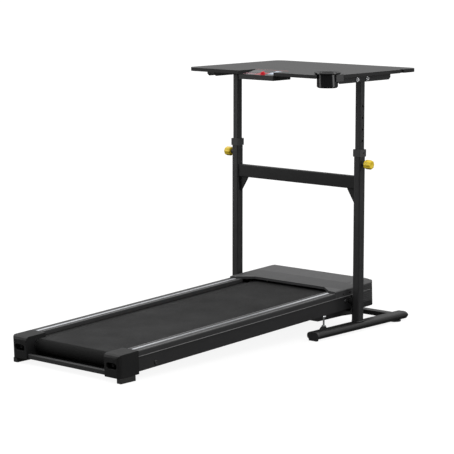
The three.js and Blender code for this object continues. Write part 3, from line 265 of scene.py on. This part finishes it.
CAMERA_PLACE = (5.5039, -6.1450, 1.7373)
CAMERA_DIP = 8.649  # degrees below level
CAMERA_TURN = 41.4976  # degrees to the left of straight ahead
LENS = 155.56
eye = bpy.data.cameras.new("camera")
eye.lens = LENS
eye.sensor_width = 36.0
eye.clip_end = 400.0
camera = bpy.data.objects.new("camera", eye)
camera.location = CAMERA_PLACE
camera.rotation_euler = (
    math.radians(90.0 - CAMERA_DIP),
    0.0,
    math.radians(CAMERA_TURN),
)
bpy.context.collection.objects.link(camera)
bpy.context.scene.camera = camera
bpy.context.scene.view_settings.view_transform = "Standard"

# ---------------------------------------------------------------------------------------------
# Floor tubes: two flat-oval steel tubes, powder coated satin black, tied in front by a cross
# tube, plugged at the ends with moulded caps and stood on screwed levelling feet.
# ---------------------------------------------------------------------------------------------
powder_black = Finish("powder_black", (0.019, 0.019, 0.0195), 0.36)
peel = powder_black.noise(900.0, 2.0)
powder_black.feed("Roughness", 0.30 + 0.14 * powder_black.noise(55.0, 4.0) + 0.05 * peel)
powder_black.tones(9.0, 4.0, (0.015, 0.015, 0.0155), (0.026, 0.026, 0.027))
powder_black.bump(peel, 0.10, 0.0004)
powder_black.bump(powder_black.noise(60.0, 2.0), 0.05, 0.0008)


CORNER_ANGLE = 32.0  # degrees: anything sharper than this is eased
WELD_REACH = 0.00002


def dress(names, finish, edge=0.0008, limit=CORNER_ANGLE, segments=2):
    """A CAD piece takes a finish, and its sharp corners are eased as the real ones are."""
    for name in names:
        piece = frame["nodes"][name]
        for held in piece.material_slots:
            held.material = finish.material
        if not piece.material_slots:
            piece.data.materials.append(finish.material)
        for face in piece.data.polygons:
            face.use_smooth = True
        weld = piece.modifiers.new("weld", "WELD")
        weld.merge_threshold = WELD_REACH
        ease = piece.modifiers.new("eased_edges", "BEVEL")
        ease.limit_method = "ANGLE"
        ease.angle_limit = math.radians(limit)
        ease.width = edge
        ease.segments = segments
        ease.use_clamp_overlap = True
        level = piece.modifiers.new("even_shading", "WEIGHTED_NORMAL")
        level.keep_sharp = False


SIDES = (("left", -1.0), ("right", 1.0))
BOTH = [side for side, _ in SIDES]
# Painted shade: the floor tubes, cross tube and crossbar take a darker copy of the powder coat.
shaded_tube_black = Finish("shaded_tube_black", (0.010, 0.010, 0.0103), 0.42, Specular_IOR_Level=0.35)
shaded_tube_black.sheen(0.36, 0.14, 55.0)
shaded_tube_black.tones(9.0, 4.0, (0.007, 0.007, 0.0072), (0.015, 0.015, 0.0154))
shaded_tube_black.bump(shaded_tube_black.noise(900.0, 2.0), 0.10, 0.0004)
dress(["floor_tube_" + side for side in BOTH] + ["front_cross_tube"], shaded_tube_black, edge=0.001)

moulded_black = Finish("moulded_black", (0.022, 0.022, 0.0225), 0.5)
grain = moulded_black.node(
    "ShaderNodeTexVoronoi", values={"Vector": moulded_black.place(), "Scale": 1400.0}
)
moulded_black.sheen(0.44, 0.12, 45.0)
moulded_black.tones(14.0, 5.0, (0.017, 0.017, 0.0175), (0.030, 0.030, 0.031))
moulded_black.bump(grain, 0.12, 0.0002)
dress(["floor_cap_rear_" + side for side in BOTH], moulded_black, edge=0.0016, segments=3)
dress(["floor_cap_front_" + side for side in BOTH], moulded_black, edge=0.0006, limit=50.0)

soft_rubber = Finish("soft_rubber", (0.018, 0.018, 0.018), 0.8)
soft_rubber.sheen(0.72, 0.2, 120.0)
soft_rubber.tones(30.0, 4.0, (0.013, 0.013, 0.013), (0.03, 0.03, 0.029))
soft_rubber.bump(soft_rubber.noise(500.0, 3.0), 0.2, 0.0004)
dress(["levelling_foot_" + side for side in BOTH], soft_rubber, edge=0.0008)
dress(["rear_foot_" + side for side in BOTH], soft_rubber, edge=0.0015)


def shown(name, shape, finish, body, smooth=True, ease=0.0):
    """A finished bmesh becomes a piece that rides on a body."""
    bmesh.ops.recalc_face_normals(shape, faces=shape.faces)
    data = bpy.data.meshes.new(name)
    shape.to_mesh(data)
    shape.free()
    for face in data.polygons:
        face.use_smooth = smooth
    data.materials.append(finish.material)
    piece = bpy.data.objects.new(name, data)
    bpy.context.collection.objects.link(piece)
    if ease:
        eased = piece.modifiers.new("eased_edges", "BEVEL")
        eased.limit_method = "ANGLE"
        eased.angle_limit = math.radians(CORNER_ANGLE)
        eased.width = ease
        eased.segments = 2
        level = piece.modifiers.new("even_shading", "WEIGHTED_NORMAL")
        level.keep_sharp = False
    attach(piece, body)
    return piece


DOME_SHARE = 0.6  # a bead's end dome, in height and in width, as a share of the bead


def swept(name, path, radius, finish, body, closed=False, sides=10):
    """A round bead or wire along a path, closed at its ends by small domes."""
    shape = bmesh.new()
    points = [Vector(p) for p in path]
    count = len(points)
    rings = []
    lean = None
    for index, point in enumerate(points):
        before = points[index - 1] if index or closed else point
        after = points[(index + 1) % count] if index < count - 1 or closed else point
        along = (after - before).normalized()
        if lean is None:
            lean = along.orthogonal().normalized()
        lean = (lean - along * lean.dot(along)).normalized()
        across = along.cross(lean)
        ring = []
        for step in range(sides):
            turn = 2.0 * math.pi * step / sides
            reach = math.cos(turn) * lean + math.sin(turn) * across
            ring.append(shape.verts.new(point + radius * reach))
        rings.append((ring, along, point))
    last = count if closed else count - 1
    for index in range(last):
        here = rings[index][0]
        there = rings[(index + 1) % count][0]
        shift = 0
        if closed and index == count - 1:
            shift = min(
                range(sides),
                key=lambda s: (here[0].co - there[s].co).length,
            )
        for step in range(sides):
            follow = (step + 1) % sides
            far_step = there[(step + shift) % sides]
            far_follow = there[(follow + shift) % sides]
            shape.faces.new((here[step], here[follow], far_follow, far_step))
    if not closed:
        for (ring, along, point), way in ((rings[0], -1.0), (rings[-1], 1.0)):
            tip = point + way * along * radius * DOME_SHARE
            dome = [shape.verts.new(tip + (v.co - point) * DOME_SHARE) for v in ring]
            for step in range(sides):
                follow = (step + 1) % sides
                shape.faces.new((ring[step], ring[follow], dome[follow], dome[step]))
            shape.faces.new(dome)
    return shown(name, shape, finish, body)


# ---------------------------------------------------------------------------------------------
# Uprights: square outer tubes welded to the floor tubes, with a moulded collar on top that guides
# the inner tube, a boss with a spring pin and its yellow knob, and a crossbar with gussets.
# ---------------------------------------------------------------------------------------------
dress(["outer_upright_" + side for side in BOTH], powder_black, edge=0.0006)
dress(["inner_upright_" + side for side in BOTH], powder_black, edge=0.0006)
dress(["crossbar"], shaded_tube_black, edge=0.0012)

collar_grey = Finish("collar_grey", (0.05, 0.05, 0.051), 0.5)
collar_grey.sheen(0.46, 0.12, 60.0)
collar_grey.tones(25.0, 4.0, (0.042, 0.042, 0.043), (0.060, 0.060, 0.061))
collar_grey.bump(collar_grey.noise(900.0, 2.0), 0.12, 0.0002)
dress(["collar_" + side for side in BOTH], collar_grey, edge=0.0012)


def rounded_square(centre, half, corner, height, steps=4):
    """Points round a square with rounded corners, at one height."""
    points = []
    for quarter in range(4):
        start = quarter * math.pi / 2.0
        cx = centre[0] + (half - corner) * (1.0 if quarter in (0, 3) else -1.0)
        cy = centre[1] + (half - corner) * (1.0 if quarter in (0, 1) else -1.0)
        for step in range(steps + 1):
            turn = start + step / steps * math.pi / 2.0
            points.append((cx + corner * math.cos(turn), cy + corner * math.sin(turn), height))
    return points


WELD_RADIUS = 0.0026
WELD_STANDOFF = 0.0006  # the bead's middle outside the tube's face
WELD_CORNER = 0.004
WELD_RISE = 0.0022  # the bead's middle above the tube's foot
for side, sign in SIDES:
    low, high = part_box("outer_upright_" + side)
    tube_half = (high[1] - low[1]) / 2.0
    middle_y = (low[1] + high[1]) / 2.0
    inner_x = high[0] if sign < 0 else low[0]
    middle_x = inner_x + sign * tube_half
    swept(
        "weld_bead_" + side,
        rounded_square(
            (middle_x, middle_y),
            tube_half + WELD_STANDOFF,
            WELD_CORNER,
            low[2] + WELD_RISE,
        ),
        WELD_RADIUS,
        powder_black,
        "base",
        closed=True,
        sides=8,
    )

yellow = Finish("knob_yellow", (0.95, 0.68, 0.03), 0.34, Coat_Roughness=0.2)
yellow.sheen(0.28, 0.16, 80.0)
yellow.tones(60.0, 3.0, (0.93, 0.62, 0.020), (0.98, 0.76, 0.06))
yellow.bump(yellow.noise(700.0, 2.0), 0.06, 0.0003)


KNOB_LOBES = 8
LOBE_STEPS = 10
LOBE_DEPTH = 0.10  # share of the knob's radius
LOBE_NARROWING = 1.6  # above 1 the hollows are narrower than the lobes


def turned_knob(axis_end, radius, length, lobes, way):
    """A lobed hand knob: a scalloped rim, a softened face and a shallow dished end."""
    shape = bmesh.new()
    around = lobes * LOBE_STEPS
    # Each row is a share of the length, a share of the radius and how deep the lobes are.
    rows = [
        (0.0, 0.55, 0.0),
        (0.0, 0.80, 0.3),
        (0.05, 0.90, 1.0),
        (0.16, 1.0, 1.0),
        (0.50, 1.0, 1.0),
        (0.80, 1.0, 1.0),
        (0.91, 0.95, 1.0),
        (0.975, 0.86, 0.8),
        (1.0, 0.72, 0.2),
        (0.985, 0.45, 0.0),
        (0.955, 0.30, 0.0),
    ]
    rings = []
    for along, share, scallop in rows:
        ring = []
        for step in range(around):
            turn = 2.0 * math.pi * step / around
            hollow = (0.5 - 0.5 * math.cos(turn * lobes)) ** LOBE_NARROWING
            depth = LOBE_DEPTH * scallop * hollow
            reach = radius * share * (1.0 - depth)
            ring.append(
                shape.verts.new(
                    (
                        axis_end[0] + way * along * length,
                        axis_end[1] + reach * math.cos(turn),
                        axis_end[2] + reach * math.sin(turn),
                    )
                )
            )
        rings.append(ring)
    for here, there in zip(rings, rings[1:]):
        for step in range(around):
            follow = (step + 1) % around
            shape.faces.new((here[step], here[follow], there[follow], there[step]))
    shape.faces.new(rings[0])
    shape.faces.new(rings[-1])
    return shape


bright_chrome = Finish("bright_chrome", (0.78, 0.79, 0.80), 0.14, 1.0)
bright_chrome.sheen(0.08, 0.14, 90.0)
bright_chrome.bump(bright_chrome.noise(300.0, 2.0), 0.03, 0.0003)
for side, sign in SIDES:
    low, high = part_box("lock_knob_" + side)
    start = low[0] if sign > 0 else high[0]
    knob = shown(
        "turned_knob_" + side,
        turned_knob(
            (start, (low[1] + high[1]) / 2.0, (low[2] + high[2]) / 2.0),
            (high[2] - low[2]) / 2.0,
            high[0] - low[0],
            KNOB_LOBES,
            sign,
        ),
        yellow,
        "lock_knob_" + side + "_body",
    )
    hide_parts("lock_knob_" + side)
dress(["lock_pin_" + side for side in BOTH], bright_chrome, edge=0.0006)
dress(["deck_pin_" + side for side in BOTH], bright_chrome, edge=0.0005, limit=40.0)

black_oxide = Finish("black_oxide", (0.03, 0.03, 0.031), 0.4, 0.9)
black_oxide.sheen(0.34, 0.16, 200.0)
black_oxide.bump(black_oxide.noise(500.0, 2.0), 0.05, 0.0003)
SCREW_STEPS = 24
SIXTH = math.pi / 3.0


def screw(name, centre, outward, radius, finish, body):
    """A pan-head screw with a domed rim and a hexagonal recess, facing outward."""
    shape = bmesh.new()
    lean = outward.orthogonal().normalized()
    across_head = outward.cross(lean)
    # Each row is a share of the radius, a share of it in height, and whether it is six-sided.
    rows = [
        (1.0, 0.0, 0),
        (1.0, 0.30, 0),
        (0.86, 0.50, 0),
        (0.60, 0.58, 0),
        (0.46, 0.56, 1),
        (0.42, 0.25, 1),
    ]
    rings = []
    for share, rise_share, six in rows:
        ring = []
        for step in range(SCREW_STEPS):
            turn = 2.0 * math.pi * step / SCREW_STEPS
            reach = radius * share
            if six:
                folded = (turn % SIXTH) - SIXTH / 2.0
                reach = reach * math.cos(SIXTH / 2.0) / math.cos(folded)
            ring.append(
                shape.verts.new(
                    centre
                    + outward * radius * rise_share
                    + reach * (math.cos(turn) * lean + math.sin(turn) * across_head)
                )
            )
        rings.append(ring)
    for here, there in zip(rings, rings[1:]):
        for step in range(SCREW_STEPS):
            follow = (step + 1) % SCREW_STEPS
            shape.faces.new((here[step], here[follow], there[follow], there[step]))
    shape.faces.new(rings[0])
    shape.faces.new(rings[-1])
    return shown(name, shape, finish, body)


COLLAR_SCREW_RADIUS = 0.0036
COLLAR_SCREW_OFFSET = 0.001  # forward and up from the middle of the collar's side
for side, sign in SIDES:
    collar_low, collar_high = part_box("collar_" + side)
    screw(
        "collar_screw_" + side,
        Vector(
            (
                collar_high[0] if sign > 0 else collar_low[0],
                (collar_low[1] + collar_high[1]) / 2.0 + COLLAR_SCREW_OFFSET,
                (collar_low[2] + collar_high[2]) / 2.0 + COLLAR_SCREW_OFFSET,
            )
        ),
        Vector((sign, 0.0, 0.0)),
        COLLAR_SCREW_RADIUS,
        black_oxide,
        "base",
    )

# ---------------------------------------------------------------------------------------------
# Desk: a dark grey laminate board on two pressed channel arms, each clamped to the head of its
# upright by two socket screws with washers.
# ---------------------------------------------------------------------------------------------
laminate = Finish("desk_laminate", (0.075, 0.075, 0.076), 0.55)
speck = laminate.noise(1100.0, 2.0)
board_face = laminate.mix(
    0.55 * laminate.noise(6.0, 3.0) + 0.45 * speck,
    (0.027, 0.027, 0.0275, 1.0),
    (0.047, 0.047, 0.0478, 1.0),
)
# How far up a face of the board looks: its top, the eased corner's upper part, and the rest of it.
# The corner's upper part is a painted highlight and the sides are painted shade.
TOP_FACE = 0.985
CORNER_HIGH = 0.86
CORNER_LOW = 0.30
rise = laminate.facing("Z")
# Painted highlight: the upper part of the board's eased corner is painted light grey.
painted_edge_highlight = laminate.mix(
    (rise - CORNER_HIGH).above(0.0), (0.19, 0.19, 0.192, 1.0), (0.06, 0.06, 0.061, 1.0)
)
# Painted shade: the board's sides below the eased corner are painted near black.
lit_edge_over_painted_side_shade = laminate.mix((rise - CORNER_LOW).above(0.0), (0.009, 0.009, 0.0092, 1.0), painted_edge_highlight)
laminate.feed("Base Color", laminate.mix((rise - TOP_FACE).above(0.0), lit_edge_over_painted_side_shade, board_face))
laminate.sheen(0.52, 0.10, 25.0, 5.0)
laminate.bump(speck, 0.12, 0.0002)
dress(["desk_top"], laminate, edge=0.0014, segments=3)
dress(["desk_arm_" + side for side in BOTH], powder_black, edge=0.0008)
dress(
    ["arm_bolt_%s_%d" % (side, number) for side in BOTH for number in (1, 2)],
    bright_chrome,
    edge=0.0006,
)

# ---------------------------------------------------------------------------------------------
# Cup holder: one glossy black moulding whose bowl hangs in the desk's cut corner by its rim, with
# an ear that fills the bite in the desk's side edge and screws up under the board.
# ---------------------------------------------------------------------------------------------
gloss_black = Finish("gloss_black", (0.008, 0.008, 0.0085), 0.14)
gloss_black.sheen(0.10, 0.10, 35.0, 5.0)
gloss_black.bump(gloss_black.noise(120.0, 2.0), 0.02, 0.0004)
dress(["cup_holder"], gloss_black, edge=0.0010, limit=40.0, segments=3)

# ---------------------------------------------------------------------------------------------
# Console: a shallow moulded box in the desk's notch, with a sloped glossy plate, a dark display
# window, four printed keys and a red magnetic safety key.
# ---------------------------------------------------------------------------------------------
dress(["console_housing"], moulded_black, edge=0.0010)

# The plate's printed art, all of it generic: a pale key panel, a red field under the safety key,
# a thin red line along the far edge and slanting strokes below the display, in millimetres.
plate_low, plate_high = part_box("console_faceplate")
PLATE_WIDTH = 1000.0 * (plate_high[0] - plate_low[0])
PLATE_DEPTH = 1000.0 * (plate_high[1] - plate_low[1])
KEY_PANEL = (36.0, 95.0, 30.0, 98.0)  # left, right, near and far; across from the plate's middle
RED_FIELD = (-18.0, 33.0, 8.0, 58.0)
FAR_LINE = (-94.0, 94.0, 112.0, 114.5)
STROKE_FIELD = (-88.0, -24.0, 14.0, 40.0)
STROKE_SLANT = 1.6
STROKE_TURN = 0.42  # radians per millimetre
STROKE_LEVEL = 0.35
overlay = Finish("printed_overlay", (0.008, 0.008, 0.0085), 0.16)
spot = overlay.node("ShaderNodeTexCoord", output="Generated")
share_x = overlay.node("ShaderNodeSeparateXYZ", values={"Vector": spot}, output="X")
share_y = overlay.node("ShaderNodeSeparateXYZ", values={"Vector": spot}, output="Y")
over_x = (share_x - 0.5) * PLATE_WIDTH
over_y = share_y * PLATE_DEPTH


def field(left, right, near, far):
    """One where the plate is inside a rectangle, and zero elsewhere."""
    return over_x.above(left) * over_x.below(right) * over_y.above(near) * over_y.below(far)


ink_cloud = overlay.mix(
    overlay.noise(90.0, 3.0), (0.006, 0.006, 0.0064, 1.0), (0.012, 0.012, 0.0126, 1.0)
)
slant = ((over_x + STROKE_SLANT * over_y) * STROKE_TURN).wave()
strokes = field(*STROKE_FIELD) * slant.above(STROKE_LEVEL)
inked = overlay.mix(strokes, ink_cloud, (0.50, 0.24, 0.29, 1.0))
inked = overlay.mix(field(*RED_FIELD), inked, (0.34, 0.008, 0.018, 1.0))
inked = overlay.mix(field(*FAR_LINE), inked, (0.42, 0.010, 0.020, 1.0))
inked = overlay.mix(field(*KEY_PANEL), inked, (0.44, 0.50, 0.60, 1.0))
overlay.feed("Base Color", inked)
overlay.sheen(0.12, 0.10, 35.0, 5.0)
overlay.bump(overlay.noise(120.0, 2.0), 0.02, 0.0004)
dress(["console_faceplate"], overlay, edge=0.0005)

screen = Finish("display_glass", (0.004, 0.004, 0.005), 0.06, Coat_Weight=0.5)
screen.sheen(0.05, 0.06, 50.0)
dress(["display_lens"], screen, edge=0.0006)

key_white = Finish("key_white", (0.55, 0.60, 0.70), 0.4)
key_white.sheen(0.36, 0.10, 200.0, 3.0)
key_white.bump(key_white.noise(600.0, 2.0), 0.05, 0.0002)
KEYS = ["start_button", "stop_button", "speed_down_button", "speed_up_button"]
dress(KEYS, key_white, edge=0.0012, segments=3)

key_red = Finish("key_red", (0.62, 0.006, 0.020), 0.3)
key_red.sheen(0.24, 0.12, 120.0, 3.0)
key_red.bump(key_red.noise(500.0, 2.0), 0.04, 0.0002)
dress(["safety_key"], key_red, edge=0.0010, segments=3)

# ---------------------------------------------------------------------------------------------
# Deck: a welded steel frame with a moulded rail cover along each side, a ribbed bright foot strip
# in each cover, end caps with tension bolts, and a beam across the rear.
# ---------------------------------------------------------------------------------------------
dress(["deck_frame"], powder_black, edge=0.0006)
dress(["side_rail_" + side for side in BOTH], moulded_black, edge=0.0010)

cap_grey = Finish("cap_grey", (0.010, 0.010, 0.0102), 0.55, Specular_IOR_Level=0.25)
cap_grain = cap_grey.node(
    "ShaderNodeTexVoronoi", values={"Vector": cap_grey.place(), "Scale": 1200.0}
)
cap_grey.sheen(0.46, 0.12, 45.0)
cap_grey.tones(20.0, 4.0, (0.008, 0.008, 0.0082), (0.014, 0.014, 0.0143))
cap_grey.bump(cap_grain, 0.14, 0.0002)
dress(["rear_cap_" + side for side in BOTH], cap_grey, edge=0.0020, segments=3)
dress(["rear_beam"], moulded_black, edge=0.0008)

dress(["tension_bolt_" + side for side in BOTH], black_oxide, edge=0.0005)

# The deck is tilted: its surface mount gives the slope, and a point at its rear end.
deck_mount = next(m for m in frame["record"]["mounts"] if m["name"] == "walking_surface")
deck_up = Vector(deck_mount["axis"])
deck_along = Vector((0.0, deck_up.z, -deck_up.y))
BELT_TOP = 0.097
MOUNT_ALONG = 0.700
deck_start = Vector(deck_mount["pos_m"]) - MOUNT_ALONG * deck_along - BELT_TOP * deck_up


def on_deck(x, along, up):
    """A point given from the deck's rear end, along its slope and square to it."""
    return deck_start + Vector((x, 0.0, 0.0)) + along * deck_along + up * deck_up


# Painted highlight: pale grey beads along the rail edges and the skirt stand in for the light
# those edges catch.
highlight_bead_grey = Finish("highlight_bead_grey", (0.16, 0.16, 0.162), 0.4)
highlight_bead_grey.sheen(0.34, 0.16, 90.0)
highlight_bead_grey.tones(45.0, 4.0, (0.10, 0.10, 0.101), (0.22, 0.22, 0.222))
highlight_bead_grey.bump(highlight_bead_grey.noise(400.0, 2.0), 0.08, 0.0003)
RAIL_REAR = 0.1085
RAIL_EDGE = 0.3046
RAIL_INNER_EDGE = 0.2470
RAIL_TOP = 0.1122
RAIL_TOP_SET_IN = 0.0030
RAIL_FRONT_EDGE = 1.337
SKIRT_TOP = 0.0885
HOOD_FRONT = 1.585
# Each bead's name, place across and up, front end and radius.
BEADS = (
    ("rail_top_bead_", RAIL_EDGE - RAIL_TOP_SET_IN, RAIL_TOP, RAIL_FRONT_EDGE, 0.0016),
    ("skirt_bead_", RAIL_EDGE, SKIRT_TOP, HOOD_FRONT, 0.0017),
    ("inner_edge_bead_", RAIL_INNER_EDGE, RAIL_TOP, RAIL_FRONT_EDGE, 0.0013),
)
for side, sign in SIDES:
    for bead, bead_x, bead_up, bead_end, bead_radius in BEADS:
        swept(
            bead + side,
            [
                on_deck(sign * bead_x, RAIL_REAR, bead_up),
                on_deck(sign * bead_x, bead_end, bead_up),
            ],
            bead_radius,
            highlight_bead_grey,
            "base",
            sides=8,
        )

FRAME_SIDE = 0.3018
PLUG_ALONG = 0.205
PLUG_UP = 0.046
PLUG_RADIUS = 0.0085
for side, sign in SIDES:
    screw(
        "frame_plug_" + side,
        on_deck(sign * FRAME_SIDE, PLUG_ALONG, PLUG_UP),
        Vector((sign, 0.0, 0.0)),
        PLUG_RADIUS,
        moulded_black,
        "base",
    )

bright_strip = Finish("bright_strip", (0.50, 0.51, 0.53), 0.34, 1.0)
drawn = bright_strip.noise(30.0, 4.0, bright_strip.stretched(60.0, 1.0, 60.0))
bright_strip.feed("Roughness", 0.28 + 0.18 * drawn)
bright_strip.bump(drawn, 0.08, 0.0003)


RIB_STEPS = 6
RIB_DEPTH = 0.0007
STRIP_START = 0.109
STRIP_END = 1.334
STRIP_LOW = 0.1121
STRIP_HIGH = 0.1138
STRIP_RIBS = 4


def ribbed_strip(centre_x, width, start, end, low, high, ribs):
    """A drawn strip with rounded ribs along its length."""
    outline = []
    rows = ribs * RIB_STEPS
    for step in range(rows + 1):
        share = step / rows
        wave = 0.5 - 0.5 * math.cos(2.0 * math.pi * ribs * share)
        outline.append((centre_x + (share - 0.5) * width, high - RIB_DEPTH * (1.0 - wave)))
    outline += [(centre_x + 0.5 * width, low), (centre_x - 0.5 * width, low)]
    shape = bmesh.new()
    ends = [
        [shape.verts.new(on_deck(x, along_deck, up)) for x, up in outline]
        for along_deck in (start, end)
    ]
    count = len(outline)
    for step in range(count):
        follow = (step + 1) % count
        shape.faces.new((ends[0][step], ends[0][follow], ends[1][follow], ends[1][step]))
    shape.faces.new(ends[0])
    shape.faces.new(ends[1])
    return shape


for side, sign in SIDES:
    strip_low, strip_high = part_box("foot_strip_" + side)
    strip = shown(
        "ribbed_strip_" + side,
        ribbed_strip(
            (strip_low[0] + strip_high[0]) / 2.0,
            strip_high[0] - strip_low[0],
            STRIP_START,
            STRIP_END,
            STRIP_LOW,
            STRIP_HIGH,
            STRIP_RIBS,
        ),
        bright_strip,
        "base",
        smooth=False,
    )
    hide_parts("foot_strip_" + side)

# ---------------------------------------------------------------------------------------------
# Running gear: a waxed fibre board under a textured rubber belt on steel rollers, the rear one
# held by the tension bolts.
# ---------------------------------------------------------------------------------------------
fibre_board = Finish("fibre_board", (0.008, 0.008, 0.008), 0.7, Specular_IOR_Level=0.2)
fibre_board.sheen(0.5, 0.2, 80.0)
fibre_board.bump(fibre_board.noise(300.0, 3.0), 0.1, 0.0004)
dress(["running_board"], fibre_board, edge=0.001)

walking_rubber = Finish("walking_rubber", (0.022, 0.022, 0.0225), 0.85, Specular_IOR_Level=0.22)
across = walking_rubber.place("X")
along = walking_rubber.place("Y")
WEAVE_PITCH = 0.0042
WEAVE = 2.0 * math.pi / WEAVE_PITCH
weave = (across * WEAVE).wave() * (along * WEAVE).wave()
mottle = walking_rubber.noise(260.0, 4.0)
worn = walking_rubber.mix(
    (0.35 * walking_rubber.noise(7.0, 4.0) + 0.65 * mottle).most(0.40) * 2.2 - 0.70,
    (0.006, 0.006, 0.0061, 1.0),
    (0.042, 0.042, 0.0425, 1.0),
)
FLAT_RUN = 0.985  # above this a part of the belt faces up, not round its roller
flat_run = (walking_rubber.facing("Z") - FLAT_RUN).above(0.0)
# Painted shade: where the belt turns round its rollers, and anywhere it doesn't face up, it is
# painted near black.
walking_rubber.feed(
    "Base Color", walking_rubber.mix(flat_run, (0.003, 0.003, 0.003, 1.0), worn)
)
walking_rubber.feed("Roughness", 0.78 + 0.18 * mottle)
walking_rubber.bump(weave, 0.60, 0.0008)
walking_rubber.bump(mottle, 0.45, 0.0010)
dress(["walking_belt"], walking_rubber, edge=0.0006, limit=45.0)

turned_steel = Finish("turned_steel", (0.42, 0.42, 0.43), 0.32, 1.0)
rings = turned_steel.noise(60.0, 4.0, turned_steel.stretched(40.0, 1.0, 1.0))
turned_steel.feed("Roughness", 0.24 + 0.2 * rings)
turned_steel.bump(rings, 0.06, 0.0002)
dress(["front_roller", "rear_roller", "rear_axle", "motor_shaft"], turned_steel, edge=0.0006)

# ---------------------------------------------------------------------------------------------
# Motor bay: the motor on its plate, the drive belt, a moulded hood over them and a belly pan
# below.
# ---------------------------------------------------------------------------------------------
dress(["motor"], powder_black, edge=0.001)
dress(["drive_belt"], soft_rubber, edge=0.0003, limit=45.0)
hood_plastic = Finish("hood_plastic", (0.052, 0.052, 0.053), 0.5)
hood_grain = hood_plastic.node(
    "ShaderNodeTexVoronoi", values={"Vector": hood_plastic.place(), "Scale": 1300.0}
)
hood_plastic.sheen(0.46, 0.10, 30.0, 5.0)
hood_cloud = hood_plastic.mix(
    hood_plastic.noise(12.0, 4.0), (0.050, 0.050, 0.051, 1.0), (0.064, 0.064, 0.065, 1.0)
)
LID_FACING = 0.993  # the lid lies flatter than the sloping band behind it
# Painted shade: all of the hood but its flat lid, the sloping band and the sides, is painted
# darker.
hood_lid = (hood_plastic.facing("Z") - LID_FACING).above(0.0)
hood_plastic.feed(
    "Base Color", hood_plastic.mix(hood_lid, (0.036, 0.036, 0.037, 1.0), hood_cloud)
)
hood_plastic.bump(hood_grain, 0.12, 0.0002)
dress(["motor_hood"], hood_plastic, edge=0.0012, limit=35.0)
dress(["belly_pan"], moulded_black, edge=0.0015)
HOOD_SIDE = 0.3050
HOOD_SCREW_UP = 0.102
HOOD_SCREW_RADIUS = 0.0040
HOOD_SCREWS_ALONG = (1.395, 1.440)
for side, sign in SIDES:
    for number, along_deck in enumerate(HOOD_SCREWS_ALONG):
        screw(
            "hood_screw_%s_%d" % (side, number + 1),
            on_deck(sign * HOOD_SIDE, along_deck, HOOD_SCREW_UP),
            Vector((sign, 0.0, 0.0)),
            HOOD_SCREW_RADIUS,
            black_oxide,
            "base",
        )
